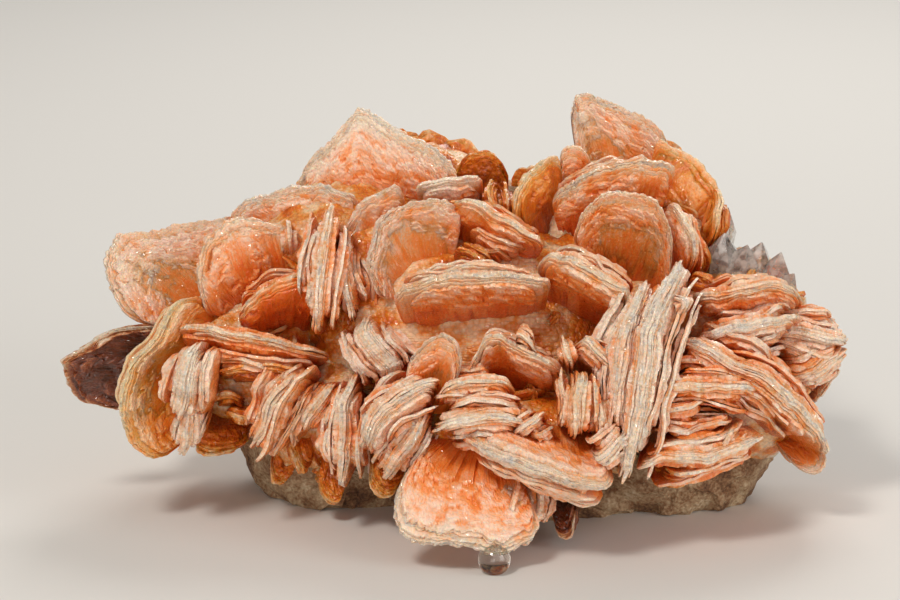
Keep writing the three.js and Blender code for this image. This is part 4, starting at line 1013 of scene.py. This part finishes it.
def druse_sheets(centre, size, seed):
    """Sheets of small blades all over a heart lump, the last few on its front and the rest where the viewer
    doesn't see it. Each is bent round the lump, stands a little proud of it and runs back to its middle."""
    random = np.random.default_rng(seed)
    size = np.array(size, dtype=float)
    share = np.linspace(-1, 1, 5)[:, None]
    made = []
    for number in range(DRUSE_BLADES + FRONT_BLADES):
        direction = unit(random.normal(0, 1, 3))
        out = direction[2]
        direction[2] = min(out, 0.5 - abs(out)) if number < DRUSE_BLADES else 0.4 + abs(out)
        turn = unit(np.cross(direction, random.normal(0, 1, 3)))
        spread = random.uniform(*DRUSE_HALF_LENGTH) / size.mean()
        directions = unit(direction + spread * share * turn)
        bare = directions * size * lump_radius(directions, seed)[..., None]
        proud = random.uniform(*DRUSE_PROUD) * (1 - 0.7 * share**2)
        rim = np.array(centre) + bare + proud * unit(directions / size)
        root_ends = unit(direction + 0.5 * spread * np.array([[-1], [1]]) * turn)
        root = np.array(centre) + DRUSE_ROOT * size * root_ends
        thick = random.uniform(*DRUSE_THICK)
        spec = {"thick": thick, "bow": 0, "reach": random.uniform(*DRUSE_REACH)}
        made.append(Sheet(spec, place(rim), place(root)))
    return made


def lump_skin(skin, centre, size, to_frame, seed, step, rough, facet, inner, smooth):
    """A rough lump: a sphere's grid of directions, pushed out to the lump's corners and broken into facets.
    rough is how high the facets are and facet how wide, in mm."""
    columns = int(np.clip(2 * math.pi * max(size[0], size[2]) / step, *LUMP_COLUMNS))
    rows = int(np.clip(math.pi * max(size) / step, *LUMP_ROWS))
    directions = direction_grid(rows, columns)
    size = np.array(size, dtype=float)
    bare = np.array(centre) + directions * size * lump_radius(directions, seed)[..., None]
    height, which = broken_facets(bare, seed, facet)
    fine, _ = broken_facets(bare, seed + 40, facet * 0.35)
    raised = rough * (height + 0.35 * fine)
    outward = unit(directions / size)
    points = to_frame(bare + outward * (raised - 0.4 * rough)[..., None])
    # Nothing reaches below the surface that the specimen stands on.
    points[..., 2] = np.maximum(points[..., 2], 0)
    places = np.stack([bare[..., 0], bare[..., 1]], axis=-1)
    shade = inner + CLOUD_SWING * (layered(bare / CLOUD_RUN, seed) - 0.5) - 0.4 * raised / rough
    skin.add(points, grid_quads(rows, columns, closed=True), places, shade, which, smooth)


def in_frame(points):
    """Points that are already in the object's frame."""
    return points


def prism_skin(skin, foot, tip, width, salt):
    """One quartz crystal: six unlike side faces and six faces of a point that stands off centre."""
    random = np.random.default_rng(salt)
    axis = unit(tip - foot)
    length = np.linalg.norm(tip - foot)
    side = unit(np.cross(axis, [0.3, 1, 0.2]))
    other = np.cross(axis, side)
    turn = np.arange(6) * math.pi / 3 + random.uniform(-0.12, 0.12, 6)
    ring = np.cos(turn)[:, None] * side + np.sin(turn)[:, None] * other
    ring = ring * random.uniform(0.88, 1.05, 6)[:, None] * width / 2
    lean = random.normal(0, 0.1, 2) * width
    top = foot + axis * length + lean[0] * side + lean[1] * other
    shoulder = QUARTZ_PRISM * length + random.uniform(-0.07, 0.07, 6) * length
    rows = [foot + 0 * ring, foot + ring, foot + ring + axis * shoulder[:, None], top + 0.04 * ring]
    points = np.stack(rows)
    quads = np.concatenate([grid_quads(4, 6, closed=True), cap_quads(6, 18)[:, ::-1], cap_quads(6, 0)])
    skin.add(points, quads, points[..., :2], 0.5, random.random())


def linear(hex_colour):
    """A linear colour from its sRGB hex value."""
    parts = [int(hex_colour[k : k + 2], 16) / 255 for k in (1, 3, 5)]
    straight = [c / 12.92 if c <= 0.04045 else ((c + 0.055) / 1.055) ** 2.4 for c in parts]
    return (*straight, 1.0)


def add_node(tree, kind, inputs=None, **settings):
    """Adds a node with its settings and fills its inputs, by name or number, with values or other nodes'
    outputs."""
    made = tree.nodes.new(kind)
    for name, value in settings.items():
        setattr(made, name, value)
    for name, value in (inputs or {}).items():
        socket = made.inputs[name]
        if isinstance(value, bpy.types.NodeSocket):
            tree.links.new(value, socket)
        else:
            socket.default_value = value
    return made


def add_ramp(tree, factor, stops):
    """A colour ramp from (place, hex colour) stops; returns its colour output."""
    made = add_node(tree, "ShaderNodeValToRGB", {"Fac": factor})
    ramp = made.color_ramp
    while len(ramp.elements) < len(stops):
        ramp.elements.new(0.5)
    for element, (position, colour) in zip(ramp.elements, stops):
        element.position = position
        element.color = linear(colour)
    return made.outputs["Color"]


def add_math(tree, operation, *values, clamp=False):
    """A maths node; returns its output."""
    made = add_node(tree, "ShaderNodeMath", dict(enumerate(values)), operation=operation, use_clamp=clamp)
    return made.outputs[0]


def blended(tree, factor, first, second, mode="MIX"):
    """Two colours blended by a factor; returns the colour output."""
    inputs = {0: factor, 6: first, 7: second}
    made = add_node(tree, "ShaderNodeMix", inputs, data_type="RGBA", blend_type=mode)
    return made.outputs[2]


def fine_noise(tree, coordinates, size_mm, detail=2.0, stretch=None, turn=0.0):
    """Noise of a real size, in mm, at these coordinates; stretch lengthens it along each axis, and turn
    turns it first."""
    if stretch:
        inputs = {"Vector": coordinates, "Scale": stretch, "Rotation": (0, 0, turn)}
        coordinates = add_node(tree, "ShaderNodeMapping", inputs, vector_type="TEXTURE").outputs[0]
    inputs = {"Vector": coordinates, "Scale": 1 / (size_mm * MM), "Detail": detail}
    return add_node(tree, "ShaderNodeTexNoise", inputs).outputs["Fac"]


def new_material(name):
    """An empty node material; returns (material, tree, output node)."""
    material = bpy.data.materials.new(name)
    material.use_nodes = True
    material.node_tree.nodes.clear()
    output = add_node(material.node_tree, "ShaderNodeOutputMaterial")
    return material, material.node_tree, output


# Colours of barite by depth behind its rim: the frosted edge, the edge's body, the face near the band, the
# face, and deep inside between the blades.
BARITE = {
    "pink_barite": ["#FADAC4", "#F6BC98", "#F29C5A", "#EC822C", "#C45610"],
    "orange_barite": ["#F9D4B8", "#F4B184", "#F09346", "#E8741E", "#BA4A08"],
    "amber_barite": ["#F7D2AA", "#F2B274", "#EC9838", "#E07A16", "#AE5206"],
    "brown_barite": ["#EACFB6", "#CC9060", "#A65C30", "#7C3A1A", "#421C0A"],
}
BARITE_STOPS = [0.04, 0.26, 0.42, 0.6, 0.95]  # where these colours stand on the ramp
PATTERN_MEAN = 1.42  # about what the patterns of the colour add up to
BARITE_IOR = 1.64
QUARTZ_IOR = 1.55
SCATTERING = 0.8  # how far light runs under the skin of barite, in mm as all sizes below
RED_FARTHEST = (1.0, 0.6, 0.4)  # and the shares of that for red, green and blue

# The real growth lines, fibres and grains are finer than these, which are as coarse as they need to show.
LINES = 0.3  # width of the growth lines along a rim
LINE_STRETCH = (14, 1, 1)  # how many times as long as wide they are
RAYS = 0.4  # width of the fibres that run back from it over a face
RAY_STRETCH = (1, 9, 1)
RAY_TURN = math.radians(24)
CLOUDS = 3.2  # width of the paler and deeper patches
SPECKS = 0.45  # and of the finest flecks
SUGAR = 0.6  # width of the grains of the frost
HEART_SUGAR = 1.1  # and of those all over the heart
MATRIX_CLOUDS = 7  # the stains of the matrix
MATRIX_GRAINS = 0.7  # its own grains
VEILS = 2.0  # the milky veils in clear crystal
ABSORPTION = 40.0  # of light in clear crystal, per metre


def add_vector_math(tree, operation, inputs):
    """A vector maths node with its inputs by name or number; returns its output."""
    return add_node(tree, "ShaderNodeVectorMath", inputs, operation=operation).outputs[0]


def glint_normal(tree, place_at):
    """The surface's own normal, tilted at random in each of many tiny cells. A clear coat with this normal
    glints like sugar where a cell happens to face a light."""
    cell = {"Vector": place_at, "Scale": 1 / (GLINT_SIZE * MM)}
    cells = add_node(tree, "ShaderNodeTexVoronoi", cell, feature="F1").outputs["Color"]
    tilt = add_vector_math(tree, "SUBTRACT", {0: cells, 1: (0.5, 0.5, 0.5)})
    tilt = add_vector_math(tree, "SCALE", {0: tilt, "Scale": GLINT_TILT})
    normal = add_node(tree, "ShaderNodeNewGeometry").outputs["Normal"]
    return add_vector_math(tree, "NORMALIZE", {0: add_vector_math(tree, "ADD", {0: normal, 1: tilt})})


def barite_material(slot, deep, name="crested barite", grain_mm=SUGAR, grainy=0.0):
    """Crested barite: thin translucent plates, frosted white at their edges and iron-stained pink, orange
    or amber within. Light scatters under its skin, red the farthest. deep shifts its faces to darker
    shades. Its frost is sugary, in grains of this size; grainy is how strong they are where it has none."""
    colours = BARITE[slot]
    material, tree, output = new_material(f"{name}, {slot.split('_')[0]}")
    inner = add_node(tree, "ShaderNodeAttribute", attribute_name="inner").outputs["Fac"]
    tone = add_node(tree, "ShaderNodeAttribute", attribute_name="tone").outputs["Fac"]
    grain = add_node(tree, "ShaderNodeUVMap", uv_map="grain").outputs["UV"]
    place_at = add_node(tree, "ShaderNodeTexCoord").outputs["Object"]

    frost = add_math(tree, "SUBTRACT", 1.0, add_math(tree, "MULTIPLY", inner, 0.8), clamp=True)
    lines = fine_noise(tree, grain, LINES, 1, stretch=LINE_STRETCH)
    rays = fine_noise(tree, grain, RAYS, 1, stretch=RAY_STRETCH, turn=RAY_TURN)
    fibres = add_node(tree, "ShaderNodeMix", {0: frost, 2: rays, 3: lines}).outputs[0]
    cloud = fine_noise(tree, place_at, CLOUDS, 1)
    speck = fine_noise(tree, place_at, SPECKS, 0)
    cell = {"Vector": place_at, "Scale": 1 / (grain_mm * MM)}
    sugar = add_node(tree, "ShaderNodeTexVoronoi", cell, feature="F1")
    grains = sugar.outputs["Distance"]
    sugar = add_node(tree, "ShaderNodeSeparateColor", {"Color": sugar.outputs["Color"]}).outputs["Red"]
    # Each pattern moves the colour along the ramp by its own share, and their mean is taken off first.
    shares = [(fibres, 1.1), (cloud, 0.8), (speck, 0.3), (tone, 0.45), (sugar, 0.25)]
    shares.append((grains, 0.5 * grainy))
    where = add_math(tree, "SUBTRACT", inner, PATTERN_MEAN)
    for pattern, share in shares:
        where = add_math(tree, "MULTIPLY_ADD", pattern, share, where)
    where = add_math(tree, "MULTIPLY", where, 0.42 + 0.1 * deep, clamp=True)
    colour = add_ramp(tree, where, list(zip(BARITE_STOPS, colours)))

    colour = blended(tree, add_math(tree, "MULTIPLY", tone, 0.22), colour, linear(colours[2]), "SOFT_LIGHT")
    bright = add_math(tree, "MULTIPLY_ADD", fibres, 0.4, 0.79)
    bright = add_math(tree, "MULTIPLY_ADD", add_math(tree, "MULTIPLY", sugar, frost), 0.26, bright)
    bright = add_math(tree, "MULTIPLY_ADD", add_math(tree, "MULTIPLY", grains, frost), -0.24, bright)
    colour = add_node(tree, "ShaderNodeHueSaturation", {"Color": colour, "Value": bright}).outputs["Color"]

    rough = add_math(tree, "MULTIPLY_ADD", speck, 0.35, 0.2)
    ridges = add_math(tree, "MULTIPLY_ADD", fibres, 0.8, add_math(tree, "MULTIPLY", speck, 0.4))
    sugary = add_math(tree, "MAXIMUM", frost, grainy)
    ridges = add_math(tree, "SUBTRACT", ridges, add_math(tree, "MULTIPLY", grains, sugary))
    depth = 0.42 * grain_mm * MM
    bump = add_node(tree, "ShaderNodeBump", {"Height": ridges, "Distance": depth, "Strength": 0.8})
    inputs = {
        "Base Color": colour,
        "Roughness": rough,
        "IOR": BARITE_IOR,
        "Subsurface Weight": 0.6,
        "Subsurface Radius": RED_FARTHEST,
        "Subsurface Scale": SCATTERING * MM,
        "Coat Weight": 0.5,
        "Coat Roughness": 0.06,
        "Coat Normal": glint_normal(tree, place_at),
        "Normal": bump.outputs["Normal"],
    }
    shader = add_node(tree, "ShaderNodeBsdfPrincipled", inputs, subsurface_method="RANDOM_WALK")
    tree.links.new(shader.outputs["BSDF"], output.inputs["Surface"])
    return material


def matrix_material():
    """Quartz-rich matrix rock: dull tan and brown grains, iron-stained."""
    material, tree, output = new_material("quartz-rich matrix rock")
    place_at = add_node(tree, "ShaderNodeTexCoord").outputs["Object"]
    cloud = fine_noise(tree, place_at, MATRIX_CLOUDS, 4)
    speck = fine_noise(tree, place_at, MATRIX_GRAINS, 3)
    where = add_math(tree, "MULTIPLY_ADD", speck, 0.5, add_math(tree, "MULTIPLY_ADD", cloud, 0.9, -0.2))
    stops = [(0.3, "#4F3120"), (0.45, "#8A6544"), (0.6, "#B59A78"), (0.75, "#D8C6A8")]
    colour = add_ramp(tree, where, stops)
    bump = add_node(tree, "ShaderNodeBump", {"Height": speck, "Distance": 0.5 * MM, "Strength": 0.8})
    inputs = {"Base Color": colour, "Roughness": 0.75, "Normal": bump.outputs["Normal"]}
    shader = add_node(tree, "ShaderNodeBsdfPrincipled", inputs)
    tree.links.new(shader.outputs["BSDF"], output.inputs["Surface"])
    return material


def clear_material(name, roughness, veils):
    """Clear colourless quartz or glass-clear mineral: plain transmission, with a faint absorption inside.
    Milky veils take away up to their share of the transmission."""
    material, tree, output = new_material(name)
    place_at = add_node(tree, "ShaderNodeTexCoord").outputs["Object"]
    cloud = fine_noise(tree, place_at, VEILS, 3)
    cloud = add_math(tree, "MULTIPLY_ADD", cloud, 2.0, -0.5, clamp=True)
    inputs = {
        "Base Color": linear("#F4F1EC"),
        "Roughness": roughness,
        "IOR": QUARTZ_IOR,
        "Transmission Weight": add_math(tree, "MULTIPLY_ADD", cloud, -veils, 1.0),
    }
    shader = add_node(tree, "ShaderNodeBsdfPrincipled", inputs)
    inside = {"Color": linear("#F4ECDD"), "Density": ABSORPTION}
    absorption = add_node(tree, "ShaderNodeVolumeAbsorption", inside)
    tree.links.new(shader.outputs["BSDF"], output.inputs["Surface"])
    tree.links.new(absorption.outputs["Volume"], output.inputs["Volume"])
    return material


def finished(skin, node, name, material):
    """Makes a gathered skin into the piece that stands for a solid."""
    piece = skin.mesh(name)
    piece.data.materials.append(material)
    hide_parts(node)
    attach(piece, "root")
    return piece


class BariteCrystalSettings(PropertyGroup):
    """How finely the crystals are shaped. Lengths are in mm, and coarseness is a multiple of the steps."""

    column_step: FloatProperty(name="Column step", description="Between points along a rim", default=0.55)
    row_step: FloatProperty(name="Row step", description="Between rows behind a rim", default=0.6)
    plate_spacing: FloatProperty(name="Plate spacing", description="In a blade's stack", default=0.48)
    scale_size: FloatProperty(name="Scale width", description="Of the scales on faces", default=2.6)
    lump_step: FloatProperty(name="Lump step", description="Between points of a lump", default=3.1)
    rock_step: FloatProperty(name="Rock step", description="Between points of the matrix", default=2.5)
    druse_coarseness: FloatProperty(name="Druse", description="Coarseness of the smallest", default=2.9)
    heart_coarseness: FloatProperty(name="Heart", description="Coarseness of its blades", default=1.4)
    side_coarseness: FloatProperty(name="Beside", description="Coarseness of lesser blades", default=2.0)
    seed: IntProperty(name="Seed", description="Of the crests and the heart's blades", default=3)


class BariteStageSettings(PropertyGroup):
    """The floor, the light and the camera."""

    floor_colour: StringProperty(name="Floor", description="Its sRGB hex colour", default="#E2DFDA")
    key_power: FloatProperty(name="Key light", description="Watts", default=4.6)
    fill_power: FloatProperty(name="Fill light", description="Watts", default=2.9)
    low_power: FloatProperty(name="Low light", description="Watts", default=2.3)
    world_strength: FloatProperty(name="World light", description="Strength from all round", default=0.31)
    lens: FloatProperty(name="Lens", description="Focal length, mm", default=160.0)
    distance: FloatProperty(name="Distance", description="From the face", default=0.9, unit="LENGTH")


def crest_skin_of(blades, look, settings, salt):
    """The crystals of one crest, all its blades and the lesser ones beside them in one skin."""
    skin = Skin()
    for number, spec in enumerate(blades):
        seed = salt + 31 * number
        sheet = Sheet(spec)
        crest_skin(skin, sheet, look, seed, settings)
        beside = {**look, "band": SIDE_BAND * look["band"]}
        for count, lesser in enumerate(side_sheets(sheet, seed)):
            own = seed + 8000 + 13 * count
            crest_skin(skin, lesser, beside, own, settings, settings.side_coarseness)
    return skin


class BARITE_OT_add_crests(Operator):
    """Adds every crest of stacked barite plates"""

    bl_idname = "barite.add_crests"
    bl_label = "Add crests"

    def execute(self, context):
        settings = context.scene.barite_crystals
        palette = {slot: barite_material(slot, 0.4) for slot in BARITE}
        for number, (node, blades) in enumerate(CRESTS.items()):
            look = {**ORDINARY, **LOOKS.get(node, {})}
            skin = crest_skin_of(blades, look, settings, settings.seed + 101 * number)
            finished(skin, node, f"{node}_crystals", palette[SLOTS[node]])
        return {"FINISHED"}


class BARITE_OT_add_heart(Operator):
    """Adds the amber heart between the crests"""

    bl_idname = "barite.add_heart"
    bl_label = "Add amber heart"

    def execute(self, context):
        settings = context.scene.barite_crystals
        skin = Skin()
        for number, (centre, size) in enumerate(HEART_LUMPS):
            seed = LUMP_SEED + 3 * number
            step = settings.lump_step
            lump_skin(skin, centre, size, place, seed, step, rough=1.8, facet=4.0, inner=0.2, smooth=True)
            for count, sheet in enumerate(druse_sheets(centre, size, seed)):
                own = 100 * seed + 19 * count
                crest_skin(skin, sheet, DRUSE_LOOK, own, settings, settings.druse_coarseness)
        for number, spec in enumerate(HEART_BLADES):
            seed = settings.seed + 7000 + 37 * number
            crest_skin(skin, Sheet(spec), HEART_LOOK, seed, settings, settings.heart_coarseness)
        slot = SLOTS["amber_heart"]
        material = barite_material(slot, 0.9, "sugary barite", grain_mm=HEART_SUGAR, grainy=1.2)
        finished(skin, "amber_heart", "amber_heart_crystals", material)
        return {"FINISHED"}


class BARITE_OT_add_matrix(Operator):
    """Adds the rough matrix, cut off flat where it stands"""

    bl_idname = "barite.add_matrix"
    bl_label = "Add matrix"

    def execute(self, context):
        settings = context.scene.barite_crystals
        skin = Skin()
        for number, (centre, size) in enumerate(MATRIX_BLOCKS):
            seed = LUMP_SEED + 7 * number
            step = settings.rock_step
            lump_skin(skin, centre, size, in_frame, seed, step, rough=1.6, facet=6.0, inner=1, smooth=False)
        finished(skin, "matrix_rock", "matrix_rock_surface", matrix_material())
        return {"FINISHED"}


class BARITE_OT_add_quartz(Operator):
    """Adds the patch of clear quartz crystals"""

    bl_idname = "barite.add_quartz"
    bl_label = "Add quartz"

    def execute(self, context):
        skin = Skin()
        for number, (foot, tip, width) in enumerate(QUARTZ):
            prism_skin(skin, place(foot), place(tip), width, 60 + number)
        material = clear_material("veiled clear quartz", 0.06, 0.6)
        finished(skin, "quartz_patch", "quartz_patch_crystals", material)
        return {"FINISHED"}


class BARITE_OT_add_knob(Operator):
    """Adds the clear rounded knob under the lowest lobe"""

    bl_idname = "barite.add_knob"
    bl_label = "Add clear knob"

    def execute(self, context):
        skin = Skin()
        points = place(KNOB_CENTRE) + direction_grid(*KNOB_GRID) * KNOB_RADIUS
        points[..., 2] = np.maximum(points[..., 2], 0)
        skin.add(points, grid_quads(*KNOB_GRID, closed=True), points[..., :2], 0.5, 0.5, smooth=True)
        finished(skin, "clear_knob", "clear_knob_drop", clear_material("glass-clear knob", 0.01, 0))
        return {"FINISHED"}


def add_light(name, place_at, size, power, warmth):
    """A soft square light at this place that faces the middle of the object. Places and sizes are in
    metres, and power is in watts."""
    data = bpy.data.lights.new(name, "AREA")
    data.energy = power
    data.size = size
    data.color = warmth
    made = bpy.data.objects.new(name, data)
    made.location = place_at
    towards = -made.location
    towards.z += FACE_HEIGHT * MM
    made.rotation_euler = towards.to_track_quat("-Z", "Y").to_euler()
    bpy.context.scene.collection.objects.link(made)


def add_floor(scene, colour):
    """A plain floor of this sRGB hex colour, level with the surface that the specimen stands on."""
    mesh = bpy.data.meshes.new("floor")
    half = FLOOR_SIDE * MM / 2
    corners = [(-half, -half, 0), (half, -half, 0), (half, half, 0), (-half, half, 0)]
    mesh.from_pydata(corners, [], [(0, 1, 2, 3)])
    floor = bpy.data.objects.new("floor", mesh)
    scene.collection.objects.link(floor)
    material, tree, output = new_material("plain pale floor")
    shader = add_node(tree, "ShaderNodeBsdfPrincipled", {"Base Color": linear(colour), "Roughness": 0.8})
    tree.links.new(shader.outputs["BSDF"], output.inputs["Surface"])
    mesh.materials.append(material)


def add_world(scene, strength):
    """Even, pale light from all round."""
    world = bpy.data.worlds.new("even light")
    world.use_nodes = True
    background = world.node_tree.nodes["Background"]
    background.inputs["Color"].default_value = linear("#EDEBE8")
    background.inputs["Strength"].default_value = strength
    scene.world = world
    scene.view_settings.view_transform = "Standard"


def add_camera(scene, lens, away):
    """A camera this far (m) from the display face, square to it, with this focal length (mm)."""
    data = bpy.data.cameras.new("camera")
    data.lens = lens
    data.sensor_width = 36
    camera = bpy.data.objects.new("camera", data)
    camera.location = (0, -away * math.cos(FACE_TILT), FACE_HEIGHT * MM + away * math.sin(FACE_TILT))
    camera.rotation_euler = (math.radians(90) - FACE_TILT, 0, 0)
    scene.collection.objects.link(camera)
    scene.camera = camera


class BARITE_OT_add_stage(Operator):
    """Adds the floor, the lights and the camera"""

    bl_idname = "barite.add_stage"
    bl_label = "Add floor, light and camera"

    def execute(self, context):
        settings = context.scene.barite_stage
        add_floor(context.scene, settings.floor_colour)
        add_light("key light", (-0.35, -0.55, 0.85), 0.22, settings.key_power, (1.0, 0.96, 0.9))
        add_light("fill light", (0.75, -0.5, 0.35), 0.5, settings.fill_power, (1.0, 0.98, 0.95))
        add_light("low light", (-0.2, -0.9, 0.1), 0.5, settings.low_power, (1.0, 0.97, 0.92))
        add_light("back light", (0.15, 0.6, 0.6), 0.4, settings.fill_power, (1.0, 0.98, 0.95))
        add_world(context.scene, settings.world_strength)
        add_camera(context.scene, settings.lens, settings.distance)
        return {"FINISHED"}


STEPS = [
    BARITE_OT_add_matrix,
    BARITE_OT_add_heart,
    BARITE_OT_add_crests,
    BARITE_OT_add_quartz,
    BARITE_OT_add_knob,
    BARITE_OT_add_stage,
]


class BARITE_PT_build(Panel):
    """Lists the steps that build the specimen"""

    bl_idname = "BARITE_PT_build"
    bl_label = "Crested barite"
    bl_space_type = "VIEW_3D"
    bl_region_type = "UI"
    bl_category = "Barite"

    def draw(self, context):
        for step in STEPS:
            self.layout.operator(step.bl_idname)
        for group in (context.scene.barite_crystals, context.scene.barite_stage):
            for name in group.__annotations__:
                self.layout.prop(group, name)


CLASSES = [BariteCrystalSettings, BariteStageSettings, *STEPS, BARITE_PT_build]


def register():
    """Makes the settings, the steps and the panel known."""
    for made in CLASSES:
        bpy.utils.register_class(made)
    bpy.types.Scene.barite_crystals = PointerProperty(type=BariteCrystalSettings)
    bpy.types.Scene.barite_stage = PointerProperty(type=BariteStageSettings)


def unregister():
    """Takes them away again."""
    del bpy.types.Scene.barite_stage
    del bpy.types.Scene.barite_crystals
    for made in reversed(CLASSES):
        bpy.utils.unregister_class(made)


def main():
    """Builds the specimen and its stage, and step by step."""
    register()
    bpy.ops.barite.add_matrix()
    bpy.ops.barite.add_heart()
    bpy.ops.barite.add_crests()
    bpy.ops.barite.add_quartz()
    bpy.ops.barite.add_knob()
    bpy.ops.barite.add_stage()


if __name__ == "__main__":
    main()
